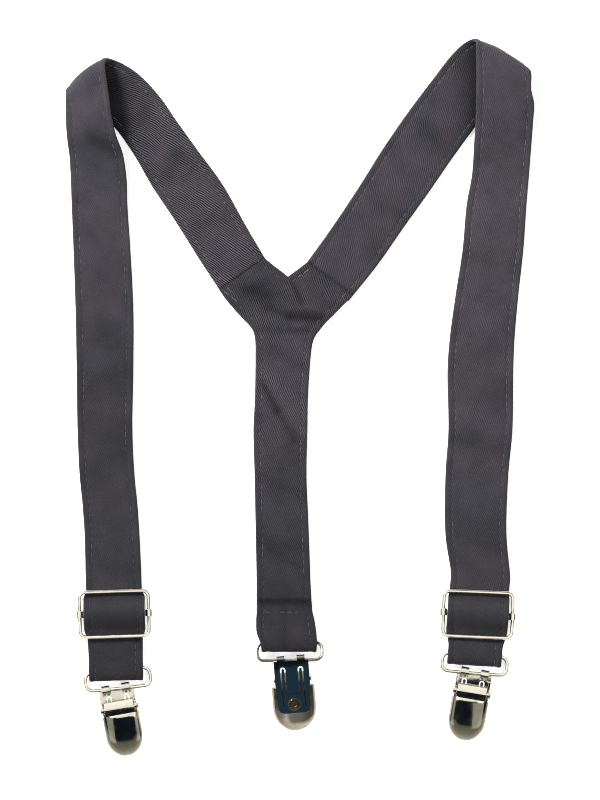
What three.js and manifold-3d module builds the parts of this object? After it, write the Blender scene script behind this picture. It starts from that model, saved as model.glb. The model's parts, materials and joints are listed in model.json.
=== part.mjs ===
// A child's Y-back suspenders (braces), laid flat face up, as an assembly of separate parts.
// Units are millimetres; +X is right, +Y runs from the clips to the shoulders, +Z is up off the table.
// The origin is the bottom centre of the whole assembly's box.
import * as THREE from "three";
import { mergeVertices } from "three/addons/utils/BufferGeometryUtils.js";
import Module from "manifold-3d";

const wasm = await Module();
wasm.setup();
const { Manifold, Mesh } = wasm;
const DEG = Math.PI / 180;

// ---------------------------------------------------------------- sizes
const T = 1.3; // strap thickness: a flat tube of cotton twill
const GAP = 0.3; // clearance between neighbouring pieces
const H0 = T / 2; // mid-height of a strap that lies on the table
const STEP = T + GAP; // rise of a strap that lies on another strap

const STRAP = { color: 0x48454b, roughness: 0.92, metalness: 0 };
const NICKEL = { color: 0xc9c8c2, roughness: 0.18, metalness: 1 };
const PLASTIC = { color: 0x3a3a3c, roughness: 0.5, metalness: 0 };
const BRASS = { color: 0xb5823c, roughness: 0.3, metalness: 1 };

const all = new THREE.Group();
all.name = "suspenders";
const V = (x, y, z) => new THREE.Vector3(x, y, z);

// ---------------------------------------------------------------- cloth
// A sheet of quads (grids of mid-surface points, welded where they meet) made solid by T.
function cloth(name, grids, parent = all) {
  const keys = new Map(),
    pts = [],
    tri = [];
  const id = (p) => {
    const k = [p.x, p.y, p.z].map((v) => Math.round(v * 1e3)).join();
    if (!keys.has(k)) {
      keys.set(k, pts.length);
      pts.push(p.clone());
    }
    return keys.get(k);
  };
  for (const g of grids)
    for (let i = 0; i + 1 < g.length; i++)
      for (let j = 0; j + 1 < g[i].length; j++) {
        const [a, b, c, d] = [g[i][j], g[i][j + 1], g[i + 1][j + 1], g[i + 1][j]].map(id);
        tri.push([a, b, c], [a, c, d]);
      }
  const n = pts.length,
    normals = pts.map(() => V(0, 0, 0));
  for (const [a, b, c] of tri) {
    const f = pts[b].clone().sub(pts[a]).cross(pts[c].clone().sub(pts[a]));
    for (const v of [a, b, c]) normals[v].add(f);
  }
  normals.forEach((v) => v.normalize());
  const once = new Map();
  for (const [a, b, c] of tri)
    for (const [p, q] of [[a, b], [b, c], [c, a]]) {
      if (once.has(q + "," + p)) once.delete(q + "," + p);
      else once.set(p + "," + q, [p, q]);
    }
  const xyz = [],
    faces = [];
  for (const s of [1, -1])
    pts.forEach((p, i) => {
      const q = p.clone().addScaledVector(normals[i], (s * T) / 2);
      xyz.push(q.x, q.y, Math.max(0, q.z)); // nothing sinks into the table
    });
  for (const [a, b, c] of tri) faces.push(a, b, c, a + n, c + n, b + n);
  for (const [a, b] of once.values()) faces.push(b, a, a + n, b, a + n, b + n);
  const g = new THREE.BufferGeometry();
  g.setAttribute("position", new THREE.Float32BufferAttribute(xyz, 3));
  g.setIndex(faces);
  return add(name, g, STRAP, parent);
}

function add(name, geometry, look, parent = all) {
  const flat = geometry.index ? geometry.toNonIndexed() : geometry;
  flat.computeVertexNormals();
  const m = new THREE.Mesh(flat, new THREE.MeshStandardMaterial(look));
  m.name = name;
  parent.add(m);
  return m;
}

function addSolid(name, solid, look, parent) {
  const m = solid.getMesh(),
    g = new THREE.BufferGeometry(),
    p = new Float32Array(m.numVert * 3);
  for (let i = 0; i < m.numVert; i++)
    for (let k = 0; k < 3; k++) p[i * 3 + k] = m.vertProperties[i * m.numProp + k];
  g.setAttribute("position", new THREE.BufferAttribute(p, 3));
  g.setIndex([...m.triVerts]);
  return add(name, g, look, parent);
}

// Two edge rails through the same stations, read at any place along them.
// A station is [[x, y, z] of one edge, [x, y, z] of the other, bulge of the middle].
function ribbon(stations) {
  const rail = (k) => new THREE.CatmullRomCurve3(stations.map((s) => V(...s[k])), false, "centripetal");
  const A = rail(0),
    B = rail(1),
    last = stations.length - 1;
  const bulge = (t) => {
    const i = Math.min(Math.floor(t), last - 1),
      f = t - i,
      s = f * f * (3 - 2 * f);
    return (stations[i][2] || 0) * (1 - s) + (stations[i + 1][2] || 0) * s;
  };
  return (from, to, steps, across) => {
    const grid = [];
    for (let i = 0; i <= steps; i++) {
      const t = from + ((to - from) * i) / steps,
        a = A.getPoint(t / last),
        b = B.getPoint(t / last);
      const h = Math.min(0.02, t / last, 1 - t / last) || 0.001;
      const dir = A.getPoint(Math.min(1, t / last + h)).add(B.getPoint(Math.min(1, t / last + h)));
      dir.sub(A.getPoint(Math.max(0, t / last - h))).sub(B.getPoint(Math.max(0, t / last - h)));
      const up = b.clone().sub(a).cross(dir).normalize();
      const row = [];
      for (let j = 0; j <= across; j++) {
        const w = j / across;
        row.push(a.clone().lerp(b, w).addScaledVector(up, bulge(t) * 4 * w * (1 - w)));
      }
      grid.push(row);
    }
    return grid;
  };
}

// ---------------------------------------------------------------- wire and solids
// A round wire along a path of points; a closed path has no ends.
function wire(points, r, sides = 8, closed = false) {
  const n = points.length,
    xyz = [],
    faces = [],
    rings = [];
  for (let i = 0; i < n; i++) {
    const prev = points[closed ? (i + n - 1) % n : Math.max(0, i - 1)],
      next = points[closed ? (i + 1) % n : Math.min(n - 1, i + 1)];
    const d = next.clone().sub(prev).normalize(),
      up = V(0, 0, 1),
      side = d.clone().cross(up).normalize(),
      z = side.clone().cross(d).normalize();
    const ring = [];
    for (let k = 0; k < sides; k++) {
      const a = ((k + 0.5) * 2 * Math.PI) / sides;
      ring.push(xyz.length / 3);
      const place = points[i].clone().addScaledVector(side, r * Math.cos(a)).addScaledVector(z, r * Math.sin(a));
      xyz.push(...place.toArray());
    }
    rings.push(ring);
  }
  for (let i = 0; i < (closed ? n : n - 1); i++)
    for (let k = 0; k < sides; k++) {
      const p = rings[i],
        q = rings[(i + 1) % n],
        l = (k + 1) % sides;
      faces.push(p[k], q[l], p[l], p[k], q[k], q[l]);
    }
  if (!closed)
    for (let k = 1; k + 1 < sides; k++)
      faces.push(rings[0][0], rings[0][k], rings[0][k + 1], rings[n - 1][0], rings[n - 1][k + 1], rings[n - 1][k]);
  const g = new THREE.BufferGeometry();
  g.setAttribute("position", new THREE.Float32BufferAttribute(xyz, 3));
  g.setIndex(faces);
  return g;
}

// The centre line of a rounded rectangle, half sizes a and b, corner radius r.
function loop(a, b, r, steps = 5) {
  const out = [];
  const corners = [[a - r, b - r, 0], [r - a, b - r, 90], [r - a, r - b, 180], [a - r, r - b, 270]];
  for (const [cx, cy, from] of corners)
    for (let i = 0; i <= steps; i++) {
      const t = (from + (90 * i) / steps) * DEG;
      out.push(V(cx + r * Math.cos(t), cy + r * Math.sin(t), 0));
    }
  return out;
}

// A closed three.js geometry as a solid that can be joined and cut.
function solid(geometry) {
  geometry.deleteAttribute("normal");
  geometry.deleteAttribute("uv");
  const { attributes, index } = mergeVertices(geometry, 1e-5);
  return new Manifold(new Mesh({
    numProp: 3,
    vertProperties: new Float32Array(attributes.position.array),
    triVerts: new Uint32Array(index.array),
  }));
}

// Boxes, and round rods between two places on their long axis.
const mid = (a, b) => (a + b) / 2;
const box = (x0, x1, y0, y1, z0, z1) =>
  solid(new THREE.BoxGeometry(x1 - x0, y1 - y0, z1 - z0)).translate([mid(x0, x1), mid(y0, y1), mid(z0, z1)]);
const rod = (r, long, n) => solid(new THREE.CylinderGeometry(r, r, long, n));
const rodX = (r, x0, x1, y, z, n = 24) => rod(r, x1 - x0, n).rotate([0, 0, 90]).translate([mid(x0, x1), y, z]);
const rodY = (r, y0, y1, x, z, n = 24) => rod(r, y1 - y0, n).translate([x, mid(y0, y1), z]);
const rodZ = (r, z0, z1, x, y, n = 24) => rod(r, z1 - z0, n).rotate([90, 0, 0]).translate([x, y, mid(z0, z1)]);

// A bar along X whose section is the convex outline round a few circles, given as [radius, y, z].
function lip(circles, x0, x1, n = 12) {
  const pts = [];
  for (const [r, y, z] of circles)
    for (let k = 0; k < n; k++) {
      const a = (2 * Math.PI * k) / n;
      pts.push([y + r * Math.cos(a), z + r * Math.sin(a)]);
    }
  pts.sort((p, q) => p[0] - q[0] || p[1] - q[1]);
  const turns = (a, b, c) => (b[0] - a[0]) * (c[1] - a[1]) - (b[1] - a[1]) * (c[0] - a[0]);
  const half = (list) => {
    const out = [];
    for (const p of list) {
      while (out.length > 1 && turns(out.at(-2), out.at(-1), p) < 1e-9) out.pop();
      out.push(p);
    }
    return out.slice(0, -1);
  };
  const outline = [...half(pts), ...half(pts.slice().reverse())].map(([y, z]) => new THREE.Vector2(y, z));
  const bar = new THREE.ExtrudeGeometry(new THREE.Shape(outline), { depth: x1 - x0, bevelEnabled: false });
  bar.applyMatrix4(new THREE.Matrix4().set(0, 0, 1, x0, 1, 0, 0, 0, 0, 1, 0, 0, 0, 0, 0, 1));
  return solid(bar);
}

// A solid skinned over cross-sections that all have the same number of points.
function skin(sections) {
  const m = sections[0].length,
    xyz = sections.flat(2),
    faces = [];
  for (let i = 0; i + 1 < sections.length; i++)
    for (let k = 0; k < m; k++) {
      const a = i * m + k,
        b = i * m + ((k + 1) % m),
        c = a + m,
        d = b + m;
      faces.push(a, b, d, a, d, c);
    }
  const e = (sections.length - 1) * m;
  for (let k = 1; k + 1 < m; k++) faces.push(0, k + 1, k, e, e + k, e + k + 1);
  const mesh = { numProp: 3, vertProperties: new Float32Array(xyz), triVerts: new Uint32Array(faces) };
  return new Manifold(new Mesh(mesh));
}

// ---------------------------------------------------------------- the ring between strap and clip
const IN_RING = 11.9; // half width of a strap where it goes round a ring
const RING = { r: 0.85, b: 4.1, corner: 3.1 }; // wire radius, half height of the centre line, corner
RING.a = IN_RING + 1.65 + RING.r; // half width of the centre line: room for the strap to turn in
function ring(side, frame) {
  add(side + "_ring", wire(loop(RING.a, RING.b, RING.corner), RING.r, 10, true), NICKEL, frame);
}

// ---------------------------------------------------------------- the clip
// Local frame: x across, y up the clip towards its ring (whose lower bar is at y = 0), z up off the back plate.
const LUG = { hole: RING.r + 0.65, wall: 0.8, half: 6.2, notch: 5.3 }; // rolled lugs round the ring's lower bar
const PLATE = { t: 0.8, half: 7.7, taper: 0.55, long: 23, flange: 2.6 };
const PIN = { at: 8.6, high: 4.9, r: 0.85, gap: 0.2, ear: 2.2 };
const RIVET = { at: 19.2, flange: 2.65, lip: 0.55, shank: 1.5, bore: 1.05 };
const PAD = { half: 5.5, from: 13.4, to: 22.4, t: 1.9, rib: 0.5 };
const SLOT = { outer: 4.8, inner: 3.0, width: 0.6, top: 3.9, foot: 14.4, end: 20 };
const COVER = { wall: 0.7, side: 1.0, crown: 8.1, low: 1.2, nose: 30.6, gap: 0.4 };
const BAR_UP = LUG.hole + LUG.wall; // height of the ring's bar over the back plate's face
const COVER_HALF = PLATE.half + COVER.side + COVER.wall;

function clip(side, frame) {
  const pinY = -PIN.at,
    pinZ = PIN.high,
    rivetY = -RIVET.at,
    W = PLATE.half,
    L = PLATE.long,
    t = PLATE.t,
    hole = PIN.r + PIN.gap;
  // back plate, a little narrower at the jaw end, with rounded jaw corners
  const half = [[W, 0], [W, -4], [W - PLATE.taper, -(L - 2.5)], [W - 1.3, -(L - 0.8)], [W - 3.1, -L]];
  const outline = [...half.map(([x, y]) => [-x, y]), ...half.slice().reverse()];
  const shape = new THREE.Shape(outline.map(([x, y]) => new THREE.Vector2(x, y)));
  let base = solid(new THREE.ExtrudeGeometry(shape, { depth: t, bevelEnabled: false }));
  // side flanges and the two ears that hold the pin, and the rolled lugs
  for (const s of [-1, 1]) {
    const x0 = s < 0 ? -W : W - t,
      x1 = x0 + t;
    base = base.add(rodX(PIN.ear, x0, x1, pinY, pinZ));
    base = base.add(box(x0, x1, pinY - PIN.ear, pinY + PIN.ear, 0, pinZ));
    const in0 = x0 - (PLATE.taper - 0.05) * s,
      far = -(L - 3.4),
      low = PLATE.flange - 0.2;
    base = base.add(skin([
      [[x0, -2.4, 0.2], [x1, -2.4, 0.2], [x1, -2.9, PLATE.flange], [x0, -2.9, PLATE.flange]],
      [[in0, far, 0.2], [in0 + t, far, 0.2], [in0 + t, far + 1, low], [in0, far + 1, low]],
    ]));
    const l0 = s < 0 ? -LUG.half : LUG.notch / 2,
      l1 = s < 0 ? -LUG.notch / 2 : LUG.half;
    base = base.add(rodX(BAR_UP, l0, l1, 0, BAR_UP)).subtract(rodX(LUG.hole, l0 - 0.1, l1 + 0.1, 0, BAR_UP));
  }
  // the slot that frees the spring tongue: two hairpins joined at the foot
  const e = SLOT.width / 2,
    mid = (SLOT.outer + SLOT.inner) / 2,
    bend = (SLOT.outer - SLOT.inner) / 2;
  let slot = box(-SLOT.inner - e, SLOT.inner + e, -SLOT.foot - e, -SLOT.foot + e, -1, t + 1);
  for (const s of [-1, 1]) {
    const o = SLOT.outer * s,
      i = SLOT.inner * s,
      c = mid * s;
    slot = slot.add(box(o - e, o + e, -SLOT.end, -SLOT.top, -1, t + 1));
    slot = slot.add(box(i - e, i + e, -SLOT.foot - e, -SLOT.top, -1, t + 1));
    const hairpin = rodZ(bend + e, -1, t + 1, c, -SLOT.top, 20)
      .subtract(rodZ(bend - e, -2, t + 2, c, -SLOT.top, 16))
      .subtract(box(c - 2, c + 2, -SLOT.top - 3, -SLOT.top, -2, t + 3));
    slot = slot.add(hairpin);
  }
  base = base.subtract(slot).subtract(rodZ(RIVET.shank + 0.25, -1, t + 1, 0, rivetY, 20));
  for (const x of [t / 2 - W, W - t / 2]) base = base.subtract(rodX(hole, x - t, x + t, pinY, pinZ, 16));
  addSolid(side + "_clip_base", base, NICKEL, frame);

  // pin, with a small head at each end, between the ears and the cover's walls
  const headIn = W + 0.25,
    headOut = W + COVER.side - GAP;
  const pin = rodX(PIN.r, -headIn - 0.1, headIn + 0.1, pinY, pinZ, 16)
    .add(rodX(PIN.r + 0.35, -headOut, -headIn, pinY, pinZ, 16))
    .add(rodX(PIN.r + 0.35, headIn, headOut, pinY, pinZ, 16));
  addSolid(side + "_clip_pin", pin, NICKEL, frame);

  // ribbed plastic jaw insert, riveted to the plate below the tongue
  const pz = t + GAP,
    pt = pz + PAD.t,
    recess = pt - 0.7;
  let pad = box(-PAD.half, PAD.half, -PAD.to, -PAD.from, pz, pt);
  for (const y of [-PAD.from - 0.5, -PAD.from - 1.7, -PAD.to + 0.4])
    pad = pad.add(box(-PAD.half, PAD.half, y - 0.3, y + 0.3, pt - 0.1, pt + PAD.rib));
  pad = pad.subtract(rodZ(RIVET.shank + GAP, 0, pt + 2, 0, rivetY, 20));
  pad = pad.subtract(rodZ(RIVET.flange, recess, pt + 2, 0, rivetY, 20));
  addSolid(side + "_jaw_insert", pad, PLASTIC, frame);

  // hollow brass eyelet rivet, its flange on the back of the plate, its curl in the pad's recess
  let rivet = rodZ(RIVET.flange, -RIVET.lip - 0.1, -0.1, 0, rivetY, 28)
    .add(rodZ(RIVET.shank, -0.3, recess + 0.5, 0, rivetY, 20))
    .add(rodZ(RIVET.flange - 0.35, recess + 0.2, recess + 0.65, 0, rivetY, 20));
  rivet = rivet.subtract(rodZ(RIVET.bore, -2, pt + 2, 0, rivetY, 20));
  addSolid(side + "_clip_rivet", rivet, BRASS, frame);

  // domed cover: a shell with a round nose, open below
  const section = (s, w, top, low, n = 22) => {
    const pts = [];
    for (let k = 0; k <= n; k++) {
      const a = Math.PI * (k / n),
        c = Math.cos(a),
        q = Math.sin(a);
      pts.push([w * Math.sign(c) * Math.abs(c) ** 0.62, -s, low + (top - low) * q ** 0.7]);
    }
    return pts;
  };
  const start = PIN.at + PIN.ear + COVER.gap;
  const body = (grow, from, low, end) => {
    const out = [];
    for (let k = 0; k <= 18; k++) {
      const f = k / 18,
        s = from + (end - from) * (1 - (1 - f) ** 1.6);
      const n0 = COVER.nose - 11,
        nose = Math.max(0, (s - n0) / (COVER.nose + grow - n0)),
        round = Math.sqrt(Math.max(0.004, 1 - nose ** 2.2));
      const sag = 0.35 * Math.max(0, (start + 2.8 - s) / 3) + 0.0016 * Math.max(0, s - (COVER.nose - 17.6)) ** 2.55;
      const top = (COVER.crown - sag + grow) * (0.35 + 0.65 * round ** 0.7);
      out.push(section(s, (COVER_HALF + grow) * round, Math.max(low + 0.6, top), low));
    }
    return out;
  };
  let cover = skin(body(0, start, COVER.low, COVER.nose - 0.05));
  const hollow = body(-COVER.wall, start + COVER.wall, COVER.low - 0.8, COVER.nose - COVER.wall - 0.1);
  cover = cover.subtract(skin(hollow));
  const inside = COVER_HALF - 0.8;
  cover = cover.subtract(box(-inside, inside, -(start + 1), -(start - 0.3), 0, PLATE.flange + 0.8));
  // barrel on the pin, the neck that carries the dome, and the cam lip behind it
  const nh = W - t - 0.5,
    barrel = PIN.r + 1.15;
  const neck = rodX(barrel, -nh, nh, pinY, pinZ, 28)
    .add(box(-nh, nh, -(start + 0.4), pinY, pinZ - 0.3, pinZ + barrel))
    .add(lip([[0.45, pinY + 3.1, pinZ + 0.2], [1.1, pinY + 0.6, pinZ - 0.6],
    [0.6, pinY + 1.0, pinZ + 1.1]], -nh, nh));
  cover = cover.add(neck).subtract(rodX(hole, -nh - 1, nh + 1, pinY, pinZ, 16));
  addSolid(side + "_clip_cover", cover, NICKEL, frame);
}

// ---------------------------------------------------------------- the adjuster
const WIDEST = 13.1; // half width of the widest strap in an adjuster
const FRAME = { r: 0.87, b: 9.95, corner: 2.7 }; // wire radius, half height of the centre line, corner
FRAME.a = WIDEST + 1.31 + FRAME.r;
const CROSS = { r: 0.9, eye: 1.75, eyeLong: 3.0, eyeGap: 0.22 }; // crossbar, and its eyes on the frame's sides
function adjuster(side, frame, tilt) {
  add(side + "_adjuster_frame", wire(loop(FRAME.a, FRAME.b, FRAME.corner), FRAME.r, 10, true), NICKEL, frame);
  const dy = FRAME.a * Math.sin(tilt),
    lean = Math.atan2(2 * dy, 2 * FRAME.a) / DEG,
    hole = FRAME.r + CROSS.eyeGap,
    eye = Math.max(CROSS.eye, hole + 0.66),
    reach = FRAME.a - hole;
  let bar = rodX(CROSS.r, -reach, reach, 0, 0, 16).rotate([0, 0, lean]);
  const sleeve = (r, half, s) => rodY(r, -half, half, s * FRAME.a, 0, 20).translate([0, s * dy, 0]);
  for (const s of [-1, 1]) bar = bar.add(sleeve(eye, CROSS.eyeLong / 2, s));
  for (const s of [-1, 1]) bar = bar.subtract(sleeve(hole, CROSS.eyeLong, s));
  addSolid(side + "_adjuster_crossbar", bar, NICKEL, frame);
}

// ---------------------------------------------------------------- where things are
const SIDES = {
  left: {
    sign: -1,
    bar: [-81.6, -94.0], // middle of the adjuster's crossbar
    turn: 1.6, // turn of the strap there, degrees
    frameTurn: 1.8,
    half: 12.3, // half width of the strap there
    reach: 24.8, // crossbar to the ring's upper bar
    ringShift: 0.5,
    ringTurn: 6.0,
    clipShift: -1.3,
    clipTurn: 10.4,
  },
  right: {
    sign: 1,
    bar: [78.2, -94.2],
    turn: -4.2,
    frameTurn: -2.4,
    half: WIDEST,
    reach: 17.9,
    ringShift: 0.2,
    ringTurn: -4.8,
    clipShift: 0.4,
    clipTurn: -9.7,
  },
};
// Heights in an adjuster, all from the table up. The strap's sewn end goes round the crossbar; its tail lies on the
// table, the doubled strap over the tail, and the front layer over everything.
const AROUND = CROSS.r + 0.25 + T / 2; // radius of the end loop's middle
const UNDER_TOP = H0 + 0.2, // front layer's middle under the frame's upper bar
  UNDER_LOW = H0 + T + 0.55; // and under its lower bar
const BAR_Z = Math.max(H0 + T - 0.1 + AROUND, H0 + T + 0.83 + FRAME.r); // crossbar and frame, at the middle
const TILT = Math.asin((T + 0.4) / 2 / FRAME.b) / DEG;
const OVER = AROUND + T + 0.4; // radius of the front layer's middle over the crossbar
const RING_Z = H0 + T / 2 + 0.25 + RING.r; // a front ring's upper bar
const LOOP_END = 2 * RING.b - BAR_UP - T / 2 - 1.0; // how far a strap's loop reaches past the ring's upper bar

// Diagonal run, shoulder fold and front run of each side, as edge stations from the yoke to the adjuster.
// First edge: inner edge of the diagonal, which becomes the outer edge in front. Second edge: the other one.
const h = H0;
const LEFT = [
  [[-33.7, 45.7, h], [-13.9, 59.8, h]],
  [[-44.7, 62.5, h], [-23.5, 76.1, h]],
  [[-55.2, 79.2, h], [-34.5, 95.5, h]],
  [[-64.9, 93.7, h], [-45.1, 110, h]],
  [[-72.8, 107.4, h], [-54.3, 122.8, h]],
  [[-80.7, 118.8, h], [-62.3, 134.2, h]],
  [[-89.5, 127.2, h], [-71.9, 144.1, h]],
  [[-97.2, 132.9, h], [-79.9, 148.9, h + 0.3]],
  [[-101.3, 135.6, 1.6], [-83.6, 150.0, 3.0], -1.0],
  [[-102.6, 135.8, 3.3], [-85.4, 149.6, 7.0], -1.8],
  [[-102.8, 133.4, 4.8], [-85.6, 146.5, 10.2], -1.6],
  [[-102.8, 127.6, 4.9], [-84.2, 136.5, 11.4], -0.8],
  [[-102.8, 121, 3.9], [-82.6, 124.5, 10.2], -0.6],
  [[-102.3, 114, 2.7], [-80.6, 116, 8.0], -0.5],
  [[-101.4, 107, 1.5], [-77.9, 108.5, 5.0], -0.3],
  [[-100.9, 97, 0.8], [-76.3, 98, 2.0], -0.1],
  [[-100.5, 85.8, h], [-75.9, 85.8, h]],
  [[-99.7, 66, h], [-74.6, 66, h]],
  [[-98.8, 39.6, h], [-73.3, 39.6, h]],
  [[-98.3, 13.2, h], [-73.3, 13.2, h]],
  [[-97.9, -13.2, h], [-73.7, -13.2, h]],
  [[-97.0, -33, h], [-72.8, -33, h]],
  [[-95.7, -46.2, h], [-71.5, -46.2, h]],
  [[-94.8, -59.4, h], [-70.6, -59.4, h]],
];
const RIGHT = [
  [[21.3, 43.4, h], [1.4, 58.3, h]],
  [[34.1, 59.4, h], [13.9, 75.7, h]],
  [[45.5, 75.7, h], [25.3, 92.8, h]],
  [[57.4, 92.4, h], [36.7, 110.9, h]],
  [[67.1, 106.5, h], [47.3, 126.3, h]],
  [[76.8, 119.7, h], [57.9, 140.4, h]],
  [[86, 131.1, h], [67.1, 152.2, h]],
  [[93.5, 138.6, h], [72.2, 156.9, h + 0.1]],
  [[98.6, 143.2, 1.6], [75.2, 158.4, 1.9], 0.9],
  [[101.0, 144.6, 3.7], [76.9, 158.2, 4.6], 1.7],
  [[101.6, 142.4, 5.4], [77.3, 156.2, 7.0], 1.6],
  [[101.6, 136.4, 5.5], [77.4, 148.7, 7.8], 0.8],
  [[102.9, 130.2, 4.7], [77.4, 136.4, 7.6], 0.6],
  [[102.5, 122.3, 3.4], [77.2, 125, 6.2], 0.5],
  [[101.9, 113.5, 1.8], [76.6, 114.4, 4.2], 0.3],
  [[100.8, 99, 0.8], [75.6, 99, 1.6], 0.1],
  [[99.7, 85.8, h], [73.3, 85.8, h]],
  [[98.3, 66, h], [71.5, 66, h]],
  [[96.1, 46, h], [68.4, 46, h]],
  [[94.4, 26.4, h], [65.8, 26.4, h]],
  [[93.9, 13.2, h], [64.9, 13.2, h]],
  [[93.5, -13.2, h], [65.3, -13.2, h]],
  [[91.7, -33, h], [64.0, -33, h]],
  [[90.9, -59.4, h], [64.0, -59.4, h]],
];

function frontSide(name, stations) {
  const S = SIDES[name],
    a = S.turn * DEG,
    [cx, cy] = S.bar;
  // v runs from the crossbar towards the ring, u across
  const at = (u, v, z) => V(cx + u * Math.cos(a) + v * Math.sin(a), cy + u * Math.sin(a) - v * Math.cos(a), z);
  const edge = (v, z, half = S.half) => {
    const l = at(S.sign * half, v, z).toArray(),
      r = at(-S.sign * half, v, z).toArray();
    return [l, r];
  };
  const b = FRAME.b,
    path = [...stations, edge(-b - 7.05, h), edge(-b - 3.05, h + 0.05), edge(-b - 0.15, UNDER_TOP)],
    strip = ribbon(path),
    end = path.length - 1;
  const grid = (from, to, steps, across) => {
    const g = strip(from, to, steps, across);
    return S.sign < 0 ? g.map((r) => r.slice().reverse()).reverse() : g.slice().reverse();
  };
  cloth(name + "_back_run", [grid(0, 6.1, 14, 2)]);
  cloth(name + "_shoulder_fold", [grid(6.13, 14.98, 36, 6)]);
  cloth(name + "_front_run", [grid(15.01, end, 26, 2)]);

  // strap over the crossbar, and the sewn end loop round it
  const along = (points, steps, half, t0 = 0, t1 = 1) => {
    const c = new THREE.CatmullRomCurve3(points.map(([v, z]) => V(0, v, z)), false, "centripetal");
    const g = [];
    for (let i = 0; i <= steps; i++) {
      const p = c.getPointAt(t0 + ((t1 - t0) * i) / steps);
      const w = typeof half === "function" ? half(p.y) : half;
      g.push([at(-w, p.y, p.z), at(w, p.y, p.z)]);
    }
    return g;
  };
  const q = OVER / 3.5,
    top = BAR_Z + OVER,
    ahead = (f) => 5.6 * q + (b - 0.15 - 5.6 * q) * f;
  // the pass spreads to nearly fill the frame between its two bars
  const spread = (v) => {
    const f = Math.min(1, Math.max(0, (b - 0.15 - Math.abs(v)) / 2.2));
    return S.half + (WIDEST + 0.4 - S.half) * f * f * (3 - 2 * f);
  };
  cloth(name + "_adjuster_pass", [
    along([
      [b - 0.15, UNDER_LOW], [ahead(0.69), UNDER_LOW + 0.25], [ahead(0.33), UNDER_LOW + 0.8],
      [5.6 * q, UNDER_LOW + 1.65],
      [4.2 * q, top - 2.0 * q], [2.8 * q, top - 0.9 * q], [1.2 * q, top - 0.17 * q], [0, top],
      [-1.2 * q, top - 0.17 * q],
      [-2.6 * q, top - 0.95 * q], [-4.2 * q, top - 2.85 * q], [-5.6 * q, UNDER_TOP + 1.45],
      [-ahead(0.45), UNDER_TOP + 0.2], [-b + 0.15, UNDER_TOP],
    ], 30, spread),
  ]);
  const d = AROUND * Math.SQRT1_2,
    k0 = 1.417 * AROUND,
    back = (f) => k0 + (b - 0.65 - k0) * f;
  cloth(name + "_end_loop", [
    along([
      [back(1), h + 0.07], [back(0.837), h + 0.35], [back(0.66), h + 0.95], [back(0.437), h + T + 0.27],
      [back(0.2), h + T + 0.8], [k0, BAR_Z],
      [d, BAR_Z + d], [0, BAR_Z + AROUND], [-d, BAR_Z + d], [-AROUND, BAR_Z], [-d, BAR_Z - d],
      [0, BAR_Z - AROUND],
      [0.89 * AROUND, (h + BAR_Z - AROUND) / 2 - 0.05], [back(0.14), h], [back(0.45), h],
    ], 34, S.half - 0.3),
  ]);
  // strap from the frame's lower bar round the ring and back under itself
  const R = S.reach,
    E = LOOP_END,
    over = RING_Z + RING.r + 0.28 + T / 2,
    rise = (f) => b + 0.15 + (R - 4 - b - 0.15) * f,
    wide = S.half - 0.1,
    narrow = (v) => (v < b + 4 ? wide - (Math.max(0, v - b + 0.35) / 4.35) * (wide - IN_RING) : IN_RING);
  cloth(name + "_ring_loop", [
    along([
      [b - 0.35, h], [R - 4, h], [R, h], [R + 0.57 * E, h + 0.1], [R + 0.87 * E, h + 0.7],
      [R + E, RING_Z], [R + 0.91 * E, over - 0.88],
      [R + 0.61 * E, over - 0.23], [R + 0.17 * E, over], [R - 1.5, over - 0.13], [R - 4, over - 0.68],
      [rise(0.6), UNDER_LOW + 0.35], [rise(0.25), UNDER_LOW + 0.02], [b + 0.15, UNDER_LOW],
    ], 40, narrow),
  ]);

  // adjuster frame and crossbar
  const fr = new THREE.Group();
  fr.name = name + "_adjuster_place";
  fr.position.set(cx, cy, BAR_Z);
  fr.rotation.set(-TILT * DEG, 0, S.frameTurn * DEG, "ZYX");
  all.add(fr);
  adjuster(name, fr, (S.turn - S.frameTurn) * DEG);

  // ring: upper bar inside the strap's loop, lower bar in the clip's lugs
  const upper = at(S.ringShift, R, RING_Z),
    lowZ = RIVET.lip + 0.2 + BAR_UP,
    turn = S.ringTurn * DEG,
    lean = Math.asin((lowZ - RING_Z) / (2 * RING.b));
  const rg = new THREE.Group();
  rg.name = name + "_ring_place";
  rg.rotation.set(-lean, 0, turn, "ZYX");
  rg.position.copy(upper);
  all.add(rg);
  const inner = new THREE.Group();
  inner.position.set(0, -RING.b, 0);
  rg.add(inner);
  ring(name, inner);
  const low = V(0, -2 * RING.b, 0).applyEuler(rg.rotation).add(upper);
  const cg = new THREE.Group();
  cg.name = name + "_clip_place";
  cg.position.set(low.x + S.clipShift * Math.cos(turn), low.y + S.clipShift * Math.sin(turn), low.z - BAR_UP);
  cg.rotation.set(0, 0, S.clipTurn * DEG);
  all.add(cg);
  clip(name, cg);
}
frontSide("left", LEFT);
frontSide("right", RIGHT);

// ---------------------------------------------------------------- the yoke, the centre strap and its end
const up = H0 + STEP;
const leftArm = [
  [[-35.5, 48.3, up], [-15.5, 62.4, up]],
  [[-32.3, 43.8, up], [-11.2, 58.9, up]],
  [[-28.6, 39.5, 1.0], [-8.0, 56.5, 1.5]],
  [[-24.5, 35.0, h], [-5.3, 54.3, 1.0]],
];
const rightArm = [
  [[3.2, 60.7, up], [23.2, 45.8, up]],
  [[0.3, 58.4, up], [19.2, 41.9, up]],
  [[-2.6, 56.3, 1.5], [15.4, 38.0, 1.0]],
  [[-5.3, 54.3, 1.0], [11.6, 34.3, h]],
];
const middle = [[-5.3, 54.3, 1.0], [-5.8, 44, h], [-6.4, 35, h], [-6.9, 27.5, h], [-7.4, 18, h],
  [-8.2, 0, h], [-8.6, -13, h], [-8.6, -33, h], [-8, -53, h], [-7.3, -78.9, h]];
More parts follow.
